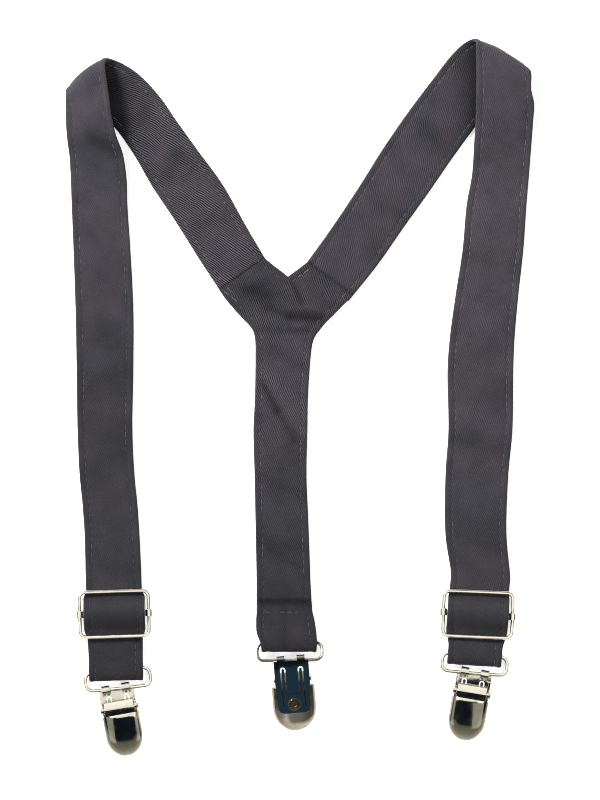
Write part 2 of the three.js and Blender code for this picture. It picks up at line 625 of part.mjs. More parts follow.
const leftEdge = [[-24.5, 35.0, h], [-22.4, 32.9, h], [-20.7, 30.4, h], [-19.8, 26.8, h],
  [-19.6, 18, h], [-19.9, 0, h], [-20.5, -13, h], [-20.0, -33, h], [-19.6, -53, h], [-19.1, -78.9, h]];
const rightEdge = [[11.6, 34.3, h], [8.9, 31.0, h], [6.8, 28.2, h], [5.6, 25.2, h], [4.6, 17.5, h],
  [3.5, 0, h], [3.3, -13, h], [2.9, -33, h], [3.7, -53, h], [4.6, -78.9, h]];
const trunkL = ribbon(leftEdge.map((p, i) => [p, middle[i]]))(0, 9, 20, 3).reverse();
const trunkR = ribbon(middle.map((p, i) => [p, rightEdge[i]]))(0, 9, 20, 3).reverse();
cloth("yoke_back_strap", [
  ribbon(leftArm)(0, 3, 5, 3).reverse(),
  ribbon(rightArm)(0, 3, 5, 3).reverse(),
  trunkL,
  trunkR,
]);

// end of the centre strap: under the ring's upper bar, round it, and back up on top, stitched down
const BACK_BAR = [-4.6, -106.6]; // the ring's upper bar, in plan
const LIFT = 1.0; // how far the strap is lifted off the table at the ring
const BACK_Z = H0 + LIFT + T / 2 + 0.3 + RING.r;
{
  const by = BACK_BAR[1],
    under = H0 + LIFT,
    over = BACK_Z + RING.r + 0.6 + T / 2,
    flap = H0 + T + 0.35,
    mid = (under + over) / 2,
    hh = (over - under) / 2,
    E = LOOP_END - 0.45,
    profile = [
      // x left, x right, y, z
      [-19.1, 4.6, -79.2, H0],
      [-19.1, 5.1, -88, H0],
      [-19.0, 5.8, by + 10.6, H0 + 0.15 * LIFT],
      [-18.2, 7.0, by + 4.6, H0 + 0.45 * LIFT],
      [-17.3, 7.5, by, under],
      [-17.0, 7.4, by - 0.6 * E, mid - 0.784 * hh],
      [-17.0, 7.3, by - 0.92 * E, mid - 0.41 * hh],
      [-17.0, 7.3, by - E, mid],
      [-17.0, 7.3, by - 0.9 * E, mid + 0.39 * hh],
      [-17.1, 7.4, by - 0.53 * E, mid + 0.763 * hh],
      [-17.6, 7.5, by + 0.4, over],
      [-19.0, 7.2, by + 4.1, flap + 0.8 * (over - flap)],
      [-19.3, 6.6, by + 8.6, flap + 0.34 * (over - flap)],
      [-19.1, 5.6, by + 13.1, flap + 0.07 * (over - flap)],
      [-18.6, 4.4, by + 17.1, flap],
    ];
  cloth("back_strap_end", [ribbon(profile.map(([l, r, y, z]) => [[r, y, z],
  [l, y, z]]))(0, 14, 40, 2).map((r) => r.slice().reverse()).reverse()]);
}

// the back ring and clip: the clip lies on its cover, back plate up
{
  const upper = V(BACK_BAR[0], BACK_BAR[1], BACK_Z),
    lowZ = COVER.crown + 0.15 - BAR_UP,
    lean = Math.asin((lowZ - upper.z) / (2 * RING.b)),
    turn = 1.2 * DEG;
  const rg = new THREE.Group();
  rg.name = "back_ring_place";
  rg.rotation.set(-lean, 0, turn, "ZYX");
  rg.position.copy(upper);
  all.add(rg);
  const inner = new THREE.Group();
  inner.position.set(0, -RING.b, 0);
  rg.add(inner);
  ring("back", inner);
  const low = V(0, -2 * RING.b, 0).applyEuler(rg.rotation).add(upper);
  const cg = new THREE.Group();
  cg.name = "back_clip_place";
  cg.position.set(low.x + 0.4, low.y, low.z + BAR_UP);
  cg.rotation.set(0, Math.PI, 4.7 * DEG, "ZYX");
  all.add(cg);
  clip("back", cg);
}

// ---------------------------------------------------------------- put the origin at the bottom centre of the whole
all.updateMatrixWorld(true);
const b3 = new THREE.Box3();
all.traverse((m) => m.isMesh && b3.expandByObject(m, true));
for (const c of all.children) {
  c.position.x -= (b3.min.x + b3.max.x) / 2;
  c.position.y -= (b3.min.y + b3.max.y) / 2;
  c.position.z -= b3.min.z;
}
all.userData.shift = [(b3.min.x + b3.max.x) / 2, (b3.min.y + b3.max.y) / 2, b3.min.z];
all.updateMatrixWorld(true);

export default all;
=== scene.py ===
"""A child's Y-back suspenders laid flat: twill straps, wire adjusters, rings and spring clips.

Lengths are in millimetres until they become mesh points; MM turns them into metres.
"""

import json
import math

import bmesh
import bpy
import numpy as np
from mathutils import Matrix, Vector

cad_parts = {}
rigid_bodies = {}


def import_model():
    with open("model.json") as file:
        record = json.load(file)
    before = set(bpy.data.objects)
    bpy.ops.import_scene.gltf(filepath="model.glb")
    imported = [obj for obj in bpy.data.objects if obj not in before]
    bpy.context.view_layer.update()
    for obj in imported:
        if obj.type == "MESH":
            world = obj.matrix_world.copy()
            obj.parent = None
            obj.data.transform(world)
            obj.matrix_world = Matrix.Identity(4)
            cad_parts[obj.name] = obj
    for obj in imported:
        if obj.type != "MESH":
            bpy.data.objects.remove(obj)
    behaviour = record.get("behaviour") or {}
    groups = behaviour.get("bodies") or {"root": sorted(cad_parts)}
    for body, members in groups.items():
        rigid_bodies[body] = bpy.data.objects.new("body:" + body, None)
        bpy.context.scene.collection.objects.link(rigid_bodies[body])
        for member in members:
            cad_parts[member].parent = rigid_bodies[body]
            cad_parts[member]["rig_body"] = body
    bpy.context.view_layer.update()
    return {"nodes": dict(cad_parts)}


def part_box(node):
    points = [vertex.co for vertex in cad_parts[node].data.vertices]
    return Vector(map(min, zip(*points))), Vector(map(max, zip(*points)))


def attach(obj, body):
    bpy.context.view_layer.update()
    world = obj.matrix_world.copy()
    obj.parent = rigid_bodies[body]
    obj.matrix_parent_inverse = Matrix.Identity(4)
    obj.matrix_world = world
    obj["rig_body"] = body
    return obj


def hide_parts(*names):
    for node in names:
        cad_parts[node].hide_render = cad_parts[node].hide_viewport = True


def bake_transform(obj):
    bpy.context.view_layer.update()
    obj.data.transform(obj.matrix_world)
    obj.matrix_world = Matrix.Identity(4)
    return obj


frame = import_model()

MM = 0.001
T = 1.3  # strap thickness
H = T / 2  # middle height of a strap lying flat
EDGE_R = 0.62  # rounding of a strap's rolled edge
ON_TABLE = 0.02  # the lowest that cloth goes
STITCH_IN = 2.9  # a topstitch line's distance from the edge
STITCH_PITCH, STITCH_LONG, STITCH_R = 3.3, 2.5, 0.15
ROW = 1.5  # spacing of a strap's rows

# ---- camera, floor and light
PLAN = 352 * MM  # height of the view
LENS = 250.0
SENSOR = 36.0


def box_mid(node):
    lo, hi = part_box(node)
    return (lo + hi) / 2


# the layout's own origin, from where the left adjuster's frame is known to be
LEFT_BAR = (-81.6, -94.0)
frame_mid = box_mid("left_adjuster_frame")
SHIFT = np.array([LEFT_BAR[0] - frame_mid.x / MM, LEFT_BAR[1] - frame_mid.y / MM, 0.0])


def camera():
    data = bpy.data.cameras.new("camera")
    data.lens = LENS
    data.sensor_width = SENSOR
    data.clip_start, data.clip_end = 0.1, 60
    cam = bpy.data.objects.new("camera", data)
    bpy.context.scene.collection.objects.link(cam)
    cam.location = (-SHIFT[0] * MM, -SHIFT[1] * MM, PLAN * LENS / SENSOR + 0.001)
    bpy.context.scene.camera = cam


camera()


class Nodes:
    """A material's or world's node tree, with short ways to add to it."""

    def __init__(self, tree):
        self.tree = tree
        tree.nodes.clear()

    def add(self, kind, inputs=None, **props):
        n = self.tree.nodes.new(kind)
        for k, v in props.items():
            setattr(n, k, v)
        for k, v in (inputs or {}).items():
            self.put(n.inputs[k], v)
        return n

    def put(self, socket, v):
        if isinstance(v, bpy.types.NodeSocket):
            self.tree.links.new(v, socket)
        else:
            socket.default_value = v

    def math(self, op, a, b=0.0, c=0.0, clamp=False):
        n = self.tree.nodes.new("ShaderNodeMath")
        n.operation, n.use_clamp = op, clamp
        for s, v in zip(n.inputs, (a, b, c)):
            self.put(s, v)
        return n.outputs[0]

    def noise(self, vector, scale, detail=2.0, rough=0.5):
        inputs = {"Vector": vector, "Scale": scale, "Detail": detail, "Roughness": rough}
        return self.add("ShaderNodeTexNoise", inputs).outputs["Fac"]

    def attribute(self, name):
        return self.add("ShaderNodeAttribute", attribute_name=name).outputs["Fac"]

    def bump(self, height, strength, distance):
        inputs = {"Height": height, "Strength": strength, "Distance": distance}
        return self.add("ShaderNodeBump", inputs).outputs[0]

    def remap(self, v, a, b, c, d, smooth=False):
        inputs = {"Value": v, "From Min": a, "From Max": b, "To Min": c, "To Max": d}
        n = self.add("ShaderNodeMapRange", inputs)
        n.interpolation_type = "SMOOTHSTEP" if smooth else "LINEAR"
        return n.outputs[0]

    def mix(self, f, a, b):
        n = self.add("ShaderNodeMix", data_type="RGBA")
        self.put(n.inputs[0], f)
        self.put(n.inputs[6], a)
        self.put(n.inputs[7], b)
        return n.outputs[2]

    def scale_color(self, color, k):
        n = self.add("ShaderNodeVectorMath", {0: color}, operation="SCALE")
        self.put(n.inputs["Scale"], k)
        return n.outputs[0]


# the studio round the object, by height of the direction: what the metal mirrors
END_STOPS = [
    (0.0, (0.75, 0.74, 0.70)),
    (0.3, (0.40, 0.38, 0.32)),
    (0.60, (0.20, 0.19, 0.145)),
    (0.84, (0.12, 0.115, 0.08)),
    (0.89, (0.006, 0.009, 0.014)),
]
SIDE_STOPS = [
    (0.0, (0.75, 0.74, 0.70)),
    (0.18, (0.34, 0.32, 0.27)),
    (0.34, (0.16, 0.15, 0.12)),
    (0.44, (0.010, 0.013, 0.018)),
    (0.95, (0.004, 0.007, 0.012)),
]


def world():
    """Pale near the floor and dark overhead, sooner to the sides than to the ends."""
    w = bpy.data.worlds.new("studio")
    bpy.context.scene.world = w
    w.use_nodes = True
    n = Nodes(w.node_tree)
    co = n.add("ShaderNodeTexCoord").outputs["Generated"]
    sep = n.add("ShaderNodeSeparateXYZ", {0: co}).outputs

    def ramp(stops):
        r = n.add("ShaderNodeValToRGB", {0: sep[2]})
        el = r.color_ramp.elements
        while len(el) < len(stops):
            el.new(0.5)
        for e, (p, c) in zip(el, stops):
            e.position, e.color = p, (*c, 1)
        return r.outputs[0]

    ends, sides = ramp(END_STOPS), ramp(SIDE_STOPS)
    f = n.remap(n.math("ABSOLUTE", sep[1]), 0.16, 0.30, 0.0, 1.0, True)
    bg = n.add("ShaderNodeBackground", {"Color": n.mix(f, sides, ends), "Strength": 1.0})
    n.tree.links.new(bg.outputs[0], n.add("ShaderNodeOutputWorld").inputs[0])


world()


def area(name, where, size, power, color):
    """A round soft light aimed at the object; only the key shows in the metal."""
    d = bpy.data.lights.new(name, "AREA")
    d.shape, d.size, d.energy, d.color = "DISK", size, power, color
    o = bpy.data.objects.new(name, d)
    bpy.context.scene.collection.objects.link(o)
    o.location = where
    o.rotation_euler = (-Vector(where)).to_track_quat("-Z", "Y").to_euler()
    o.visible_camera = False
    o.visible_glossy = name == "key"


area("key", (-0.95, 0.95, 1.05), 0.5, 44.0, (1.0, 0.985, 0.975))
area("fill", (0.9, -0.5, 1.9), 1.2, 20.0, (0.97, 0.985, 1.0))


def card(name, x, y, z, glow, turn=0.0):
    """A flat reflector seen only in the metal. x and y are the plan it covers, in mm, at z metres."""
    x0, x1, y0, y1 = (v * MM for v in (*x, *y))
    d = bpy.data.lights.new(name, "AREA")
    d.shape, d.size, d.size_y = "RECTANGLE", x1 - x0, y1 - y0
    d.energy = max(glow) * math.pi * d.size * d.size_y
    d.color = [g / max(glow) for g in glow]
    o = bpy.data.objects.new(name, d)
    bpy.context.scene.collection.objects.link(o)
    o.location = ((x0 + x1) / 2, (y0 + y1) / 2, z)
    o.rotation_euler.z = math.radians(turn)
    o.visible_camera = False
    o.visible_diffuse = False


WARM_WHITE = (0.95, 0.91, 0.81)
card("card_left_wires", (-115, -52), (-134.6, -74), 0.030, WARM_WHITE)
card("card_right_wires", (47, 112), (-124.8, -74), 0.030, WARM_WHITE)
card("card_left_side", (-360, -148), (-330, 0), 0.25, (0.28, 0.26, 0.205), 5.0)
card("card_right_side", (98, 330), (-330, 0), 0.25, (0.32, 0.30, 0.235), -5.0)
card("card_back_plate", (-26, 18), (-146, -119), 0.06, (0.010, 0.028, 0.048))

scene = bpy.context.scene
scene.view_settings.view_transform = "Standard"
scene.view_settings.look = "None"
scene.cycles.use_denoising = True
scene.cycles.filter_width = 1.0


def finish_material(n, surface, color, metallic, rough, **extra):
    """A Principled surface on the output; what doesn't vary is set on its own sockets."""
    p = n.add("ShaderNodeBsdfPrincipled")
    n.put(p.inputs["Base Color"], color)
    p.inputs["Metallic"].default_value = metallic
    n.put(p.inputs["Roughness"], rough)
    for k, v in extra.items():
        n.put(p.inputs[k.replace("_", " ")], v)
    n.put(p.inputs["Normal"], surface)
    n.tree.links.new(p.outputs[0], n.add("ShaderNodeOutputMaterial").inputs[0])


def material(name):
    m = bpy.data.materials.new(name)
    m.use_nodes = True
    return m, Nodes(m.node_tree)


FLOOR_HALF, FLOOR_Z = 14.0, -0.00015  # metres; just under the straps


def floor():
    m, n = material("pale_floor")
    co = n.add("ShaderNodeTexCoord").outputs["Object"]
    v = n.remap(n.noise(co, 900.0, 3.0), 0.3, 0.7, 0.985, 1.0)
    color = n.scale_color((0.93, 0.93, 0.925), v)
    surface = n.bump(n.noise(co, 1500.0, 2.0), 0.04, 0.0002)
    glow = dict(Emission_Color=(1, 1, 1, 1), Emission_Strength=0.55)
    finish_material(n, surface, color, 0.0, 0.7, **glow)
    me = bpy.data.meshes.new("floor")
    s = FLOOR_HALF
    me.from_pydata([(-s, -s, 0), (s, -s, 0), (s, s, 0), (-s, s, 0)], [], [(0, 1, 2, 3)])
    o = bpy.data.objects.new("floor", me)
    scene.collection.objects.link(o)
    o.location.z = FLOOR_Z
    o.data.materials.append(m)


floor()

# ---- materials
TWILL_TURN = math.radians(23)  # the twill line, anticlockwise from the strap's length
TWILL_PERIOD = 0.86  # between twill lines
FLOAT_LONG, FLOAT_STEP = 0.78, 0.37  # a short float's length, and its offset from one line to the next
BLUE_GREY, RED_GREY = (0.0460, 0.0455, 0.0560, 1), (0.0502, 0.0440, 0.0545, 1)
LINT = (0.20, 0.19, 0.20, 1)


def twill():
    """Twill: slanting ridges of short floats, mottled dye, lint, edges lighter on the roll and darker just
    inside, and painted shade in the sewn channel. UV is metres of cloth.
    """
    m, n = material("grey_twill")
    uv = n.add("ShaderNodeUVMap", uv_map="UVMap").outputs[0]
    mm = n.scale_color(uv, 1000.0)
    edge, tone, crisp = n.attribute("edge"), n.attribute("tone"), n.attribute("crisp")
    wobble = n.math("MULTIPLY", n.math("SUBTRACT", n.noise(mm, 0.11, 2.0), 0.5), 2.2)
    s = n.add("ShaderNodeSeparateXYZ", {0: mm}).outputs
    c, q = math.cos(TWILL_TURN), math.sin(TWILL_TURN)

    def both(u, v):
        return n.math("ADD", n.math("MULTIPLY", s[0], u), n.math("MULTIPLY", s[1], v))

    def wave(turns):
        cosine = n.math("COSINE", n.math("MULTIPLY", turns, 2 * math.pi))
        return n.math("MULTIPLY_ADD", cosine, 0.5, 0.5)

    phase = n.math("DIVIDE", n.math("ADD", both(c, q), wobble), TWILL_PERIOD)
    ridge = wave(phase)
    line = n.math("FLOOR", n.math("ADD", phase, 0.5))
    step = n.math("DIVIDE", both(-q, c), FLOAT_LONG)
    yarn = wave(n.math("ADD", step, n.math("MULTIPLY", line, FLOAT_STEP)))
    floats = n.math("MULTIPLY", n.math("MULTIPLY", ridge, yarn), 0.35)
    height = n.math("ADD", n.math("MULTIPLY", ridge, 0.75), floats)
    patch = n.remap(n.noise(mm, 0.085, 3.0, 0.6), 0.36, 0.64, 0.35, 1.25)
    raised = n.math("MULTIPLY", n.math("SUBTRACT", height, 0.45), 1.2)
    lines = n.math("MULTIPLY", raised, n.math("MULTIPLY", patch, crisp))
    mottle = n.remap(n.noise(mm, 0.07, 4.0, 0.62), 0.3, 0.7, 0.78, 1.22)
    fine = n.remap(n.noise(mm, 1.5, 3.0, 0.6), 0.3, 0.7, 0.80, 1.20)
    # the edges painted lighter on the roll and darker just inside it
    roll = n.remap(edge, 0.15, 0.75, 0.10, 0.0, True)
    rim = n.math("SUBTRACT", n.remap(edge, 0.5, 2.3, 0.09, 0.0, True), roll)
    off_stitch = n.math("ABSOLUTE", n.math("SUBTRACT", edge, STITCH_IN))
    # painted shade in the sewn channel along each stitch line
    channel_shade = n.remap(off_stitch, 0.15, 0.7, 0.12, 0.0, True)
    shade = n.math("SUBTRACT", n.math("SUBTRACT", n.math("ADD", 1.0, lines), rim), channel_shade)
    k = n.math("MULTIPLY", n.math("MULTIPLY", shade, mottle), n.math("MULTIPLY", fine, tone))
    drift = n.remap(n.noise(mm, 0.035, 2.0), 0.42, 0.58, 0.0, 1.0, True)
    warm = n.math("ADD", drift, n.remap(tone, 0.45, 1.1, -0.8, 0.5), clamp=True)
    tint = n.mix(warm, BLUE_GREY, RED_GREY)
    lint = n.math("POWER", n.remap(n.noise(mm, 1.3, 1.0), 0.66, 0.80, 0.0, 1.0, True), 1.5)
    color = n.mix(n.math("MULTIPLY", lint, 0.22), n.scale_color(tint, k), LINT)
    fuzz = n.math("MULTIPLY", n.noise(mm, 5.0, 2.0), 0.5)
    surface = n.bump(n.math("ADD", n.math("MULTIPLY", height, crisp), fuzz), 0.8, 0.00014)
    rough = n.remap(height, 0.0, 1.1, 0.96, 0.80)
    gloss = dict(
        Sheen_Weight=0.10,
        Sheen_Roughness=0.5,
        Sheen_Tint=(0.75, 0.72, 0.76, 1),
        Specular_IOR_Level=0.18,
    )
    finish_material(n, surface, color, 0.0, rough, **gloss)
    return m


def thread():
    """Twisted grey thread, paler and darker along its length."""
    m, n = material("topstitch_thread")
    co = n.add("ShaderNodeTexCoord").outputs["Object"]
    tone = n.attribute("tone")
    v = n.remap(n.noise(co, 150.0, 3.0), 0.32, 0.68, 0.45, 1.35)
    twist = n.remap(n.noise(co, 5200.0, 1.0), 0.35, 0.65, 0.8, 1.15)
    shade = n.math("MULTIPLY", n.math("MULTIPLY", v, twist), tone)
    color = n.scale_color((0.112, 0.106, 0.113), shade)
    surface = n.bump(n.noise(co, 6500.0, 1.0), 0.5, 0.00006)
    rough = n.remap(v, 0.38, 1.3, 0.8, 0.6)
    finish_material(n, surface, color, 0.0, rough, Specular_IOR_Level=0.25)
    return m


def metal(name, color, dark, rough, smear=1.0, metallic=1.0):
    """Plated wire and sheet: polish marks, faint tarnish in patches, and small dings."""
    m, n = material(name)
    co = n.add("ShaderNodeTexCoord").outputs["Object"]
    patch = n.remap(n.noise(co, 140.0, 4.0, 0.6), 0.45, 0.75, 0.0, 0.35 * smear, True)
    speck = n.remap(n.noise(co, 1900.0, 2.0), 0.66, 0.78, 0.0, 0.25 * smear, True)
    worn = n.math("ADD", patch, speck, clamp=True)
    c = n.mix(worn, (*color, 1), (*dark, 1))
    haze = n.remap(n.noise(co, 260.0, 3.0), 0.3, 0.7, rough * 0.7, rough * 1.35)
    r = n.math("ADD", haze, n.math("MULTIPLY", worn, 0.22))
    marks = n.add("ShaderNodeMapping", {"Vector": co, "Scale": (900.0, 90.0, 300.0)}).outputs[0]
    h = n.math("ADD", n.noise(marks, 1.0, 2.0), n.math("MULTIPLY", n.noise(co, 330.0, 2.0), 2.0))
    finish_material(n, n.bump(h, 0.05, 0.0002), c, metallic, r)
    return m


def plastic():
    """Dark moulded plastic with a fine grain."""
    m, n = material("jaw_plastic")
    co = n.add("ShaderNodeTexCoord").outputs["Object"]
    v = n.remap(n.noise(co, 500.0, 3.0), 0.3, 0.7, 0.85, 1.15)
    color = n.scale_color((0.030, 0.030, 0.032), v)
    surface = n.bump(n.noise(co, 2500.0, 2.0), 0.25, 0.00008)
    finish_material(n, surface, color, 0.0, n.remap(v, 0.85, 1.15, 0.42, 0.6))
    return m


TWILL, THREAD, PLASTIC = twill(), thread(), plastic()
NICKEL = metal("nickel_plate", (0.80, 0.785, 0.73), (0.42, 0.40, 0.34), 0.09)
WIRE = metal("nickel_wire", (0.88, 0.86, 0.79), (0.60, 0.58, 0.51), 0.22, 0.5)
# the back cover's inside: half diffuse and cream, a painted reflection of the light round it in place of
# the plate's mirror
CREAM_PAINTED_REFLECTION = metal("inside_painted_reflection", (0.66, 0.61, 0.50), (0.34, 0.30, 0.23), 0.30, 1.3, 0.5)
BRASS = metal("brass_eyelet", (0.62, 0.42, 0.17), (0.30, 0.19, 0.07), 0.24, 1.4)


# ---- cloth
def catmull(points):
    """A centripetal Catmull-Rom curve through points: a function of the station, 0 to the last."""
    p = np.array(points, float)
    last = len(p) - 1

    def at(t):
        t = min(max(float(t), 0.0), last)
        i = min(int(t), last - 1)
        w = t - i
        b, c = p[i], p[i + 1]
        a = p[i - 1] if i > 0 else 2 * p[0] - p[1]
        d = p[i + 2] if i + 2 <= last else 2 * p[last] - p[last - 1]
        g = [math.sqrt(np.linalg.norm(v)) for v in (b - a, c - b, d - c)]
        g[1] = g[1] if g[1] > 1e-4 else 1.0
        g[0] = g[0] if g[0] > 1e-4 else g[1]
        g[2] = g[2] if g[2] > 1e-4 else g[1]
        m1 = ((b - a) / g[0] - (c - a) / (g[0] + g[1]) + (c - b) / g[1]) * g[1]
        m2 = ((c - b) / g[1] - (d - b) / (g[1] + g[2]) + (d - c) / g[2]) * g[1]
        return b + m1 * w + (-3 * b + 3 * c - 2 * m1 - m2) * w * w + (2 * b - 2 * c + m1 + m2) * w**3

    return at


def unit(v):
    """Vectors v at length 1."""
    return v / np.maximum(np.linalg.norm(v, axis=-1, keepdims=True), 1e-12)


def ripple(x, y, seed, lengths=(9, 26), count=9):
    """Smooth seeded waves over a plane, about -1 to 1."""
    r = np.random.RandomState(seed)
    out = np.zeros(np.broadcast(x, y).shape)
    for _ in range(count):
        a = r.uniform(0, 2 * math.pi)
        k = 2 * math.pi / r.uniform(*lengths)
        f = r.uniform(0, 2 * math.pi)
        out = out + np.sin(k * (x * math.cos(a) + y * math.sin(a)) + f)
    return out / math.sqrt(count) / 1.4


# creases in the upper face, in the layout's millimetres: from, to, width, height (down is negative); their
# troughs also get painted shade and their ridges painted light
CREASES = [
    ((-14.5, 41.0), (-4.5, 37.0), 2.2, -0.50), ((-4.5, 37.0), (9.0, 36.0), 2.4, -0.62),
    ((-3.5, 40.6), (8.0, 40.0), 1.8, 0.35), ((-2.0, 33.2), (11.0, 33.0), 1.4, 0.30),
    ((-15.6, 30.6), (3.3, 30.2), 1.5, -0.32), ((-3.4, 52.0), (0.6, 43.0), 1.3, -0.50),
    ((1.2, 51.0), (4.6, 44.5), 1.6, 0.25), ((-24.0, 49.0), (-14.0, 46.0), 4.2, -0.45),
    ((-15.8, 6.2), (-9.8, -5.0), 1.5, -0.52), ((-9.8, -5.0), (-2.0, -17.5), 2.2, -0.34),
    ((-13.0, 9.5), (1.0, -14.0), 2.2, 0.24), ((-7.3, -91.0), (-6.8, -110.0), 1.7, -0.26),
    ((-12.5, -66.0), (-1.0, -73.0), 2.2, -0.24), ((-12.0, 22.0), (2.0, 14.0), 3.0, -0.20),
    ((-16.0, -34.0), (0.0, -42.0), 3.2, -0.26), ((-17.0, -62.0), (2.0, -66.0), 3.5, -0.16),
    ((-92.0, 116.0), (-81.0, 109.0), 4.2, -0.42), ((-98.0, 112.0), (-90.0, 104.0), 5.0, -0.22),
    ((-60.0, 96.0), (-48.0, 101.0), 4.0, -0.12), ((-76.0, 122.0), (-68.0, 126.0), 4.0, -0.30),
    ((-44.0, 76.0), (-31.0, 82.0), 5.0, -0.13), ((38.0, 84.0), (52.0, 78.0), 5.0, -0.22),
    ((56.0, 118.0), (68.0, 108.0), 5.0, -0.28), ((-98.0, 2.0), (-82.0, 12.0), 5.0, -0.22),
    ((-96.0, -32.0), (-80.0, -24.0), 5.0, -0.20), ((72.0, 64.0), (96.0, 56.0), 6.0, -0.24),
    ((68.0, -16.0), (92.0, -22.0), 5.0, -0.26), ((70.0, -58.0), (88.0, -66.0), 5.0, -0.22),
]


def from_crease(x, y, start, end):
    """Distance in plan from a crease's line."""
    (x0, y0), (x1, y1) = start, end
    dx, dy = x1 - x0, y1 - y0
    c = np.clip(((x - x0) * dx + (y - y0) * dy) / (dx * dx + dy * dy), 0, 1)
    return np.hypot(x - x0 - c * dx, y - y0 - c * dy)


def relief(p, seed):
    """Height of the soft undulation at places p."""
    x, y = p[..., 0], p[..., 1]
    out = 0.26 * ripple(x, y, seed, (12, 34)) + 0.07 * ripple(x, y, seed + 5, (4, 9))
    for start, end, wide, high in CREASES:
        out = out + high * np.exp(-((from_crease(x, y, start, end) / wide) ** 2))
    return out


# patches painted darker, in the layout's millimetres: place, radius, how much
DARK_PATCHES = [
    ((-87.8, 112.6), 5.0, 0.30), ((-54.0, 107.5), 4.2, 0.42),
    ((-58.0, 99.0), 4.0, 0.22), ((-70.6, 132.4), 5.0, 0.30),
    ((-76.0, 139.5), 5.5, 0.30), ((-19.6, 48.0), 6.0, 0.25),
    ((4.0, 36.5), 5.0, 0.28), ((-96.5, 74.0), 6.0, 0.16),
    ((-84.0, 30.0), 7.0, 0.18), ((88.0, 108.0), 6.0, 0.18),
    ((79.0, 20.0), 8.0, 0.16), ((-14.0, 2.0), 5.0, 0.16),
    ((-1.0, -25.0), 6.0, 0.18), ((60.0, 134.0), 5.0, 0.20),
    ((31.0, 66.0), 5.0, 0.18),
]


def painted_crease_shade_and_patches(p):
    """Painted shade in the creases' troughs, painted light on their ridges, and the darker patches, as a
    tone at places p.
    """
    x, y = p[..., 0], p[..., 1]
    out = np.ones(x.shape)
    for start, end, wide, high in CREASES:
        near = np.exp(-((from_crease(x, y, start, end) / (0.85 * wide)) ** 2))
        # painted shade along a crease's trough, painted light along its ridge
        out = out * (1 + (0.95 if high < 0 else 0.4) * high * near)
    # the patches are painted darker
    for (x0, y0), radius, much in DARK_PATCHES:
        out = out * (1 - much * np.exp(-((np.hypot(x - x0, y - y0) / radius) ** 2)))
    return out


def skin_height(dist, s, p, seed, quiet=1.0, pucker=1.0):
    """Half thickness of a strap at a distance from its edge: rolled edge, sewn channel, soft middle."""
    d = np.clip(dist, 0, None)
    e = np.minimum(d / EDGE_R, 1.0)
    body = 0.60 * np.sqrt(np.maximum(0.0, 1 - (1 - e) ** 2))
    roll = 0.10 * np.exp(-(((d - 1.1) / 0.9) ** 2)) * e
    channel = -0.20 * np.exp(-(((d - STITCH_IN) / 0.55) ** 2))
    rows = np.exp(-(((d - STITCH_IN) / 1.6) ** 2))
    beat = 2 * math.pi * s / STITCH_PITCH + 0.8 * np.sin(s * 0.21)
    pinch = 0.07 * pucker * rows * np.sin(beat)
    soft = relief(p, seed) * np.clip(d / 3.0, 0, 1) * quiet
    return np.maximum(body + (roll + channel + pinch) * e + soft * e, 0.18 * e)


def spread_rows(at, count, lo, hi):
    """Stations from lo to hi, even along the curve, and how far along each is."""
    ts = np.linspace(lo, hi, 400)
    pts = np.array([at(t) for t in ts])
    s = np.concatenate([[0], np.cumsum(np.linalg.norm(np.diff(pts, axis=0), axis=1))])
    n = count or max(2, int(round(s[-1] / ROW)))
    want = np.linspace(0, s[-1], n + 1)
    return np.interp(want, s, ts), want


# columns near an edge, by how far they are from it
NEAR = [0, 0.12, 0.3, 0.55, 0.9, 1.4, 1.9, 2.3, 2.6, 2.9, 3.2, 3.6, 4.3]


def columns(width, inner=12):
    """Shares of a strap's width, close together near the edges."""
    near = np.array(NEAR) / width
    mid = np.linspace(near[-1], 1 - near[-1], inner)[1:-1]
    return np.concatenate([near, mid, 1 - near[::-1]])


class Strip:
    """A strap between two edge rails. Stations are (edge a, edge b) or (edge a, edge b, bulge)."""

    def __init__(self, stations):
        self.a = catmull([s[0] for s in stations])
        self.b = catmull([s[1] for s in stations])
        self.swell = [s[2] if len(s) > 2 else 0.0 for s in stations]
        self.last = len(stations) - 1

    def mid(self, t):
        return (self.a(t) + self.b(t)) / 2

    def bulge(self, t):
        i = min(int(t), self.last - 1)
        f = t - i
        f = f * f * (3 - 2 * f)
        return self.swell[i] * (1 - f) + self.swell[i + 1] * f

    def points(self, ts, ws):
        """Middle-surface points for stations ts and shares ws, one row of shares or one each; widths."""
        a = np.array([self.a(t) for t in ts])
        b = np.array([self.b(t) for t in ts])
        h = 0.02 * self.last
        lo = np.clip(np.array(ts) - h, 0, self.last)
        hi = np.clip(np.array(ts) + h, 0, self.last)
        ahead = np.array([self.a(x) + self.b(x) for x in hi])
        behind = np.array([self.a(x) + self.b(x) for x in lo])
        up = unit(np.cross(b - a, ahead - behind))
        swell = np.array([self.bulge(t) for t in ts])
        ws = np.broadcast_to(ws, (len(ts), np.shape(ws)[-1]))[..., None]
        arch = swell[:, None, None] * 4 * ws * (1 - ws)
        return a[:, None] + (b - a)[:, None] * ws + up[:, None] * arch, np.linalg.norm(b - a, axis=1)


def normals(p):
    """Normals of a grid of points, rows along and columns across."""
    return unit(np.cross(np.gradient(p, axis=1), np.gradient(p, axis=0)))


def new_object(name, verts, faces, mat):
    """A smooth-shaded mesh object in the scene."""
    me = bpy.data.meshes.new(name)
    me.from_pydata([tuple(v) for v in verts], [], faces)
    me.validate()
    me.shade_smooth()
    me.materials.append(mat)
    o = bpy.data.objects.new(name, me)
    scene.collection.objects.link(o)
    return o


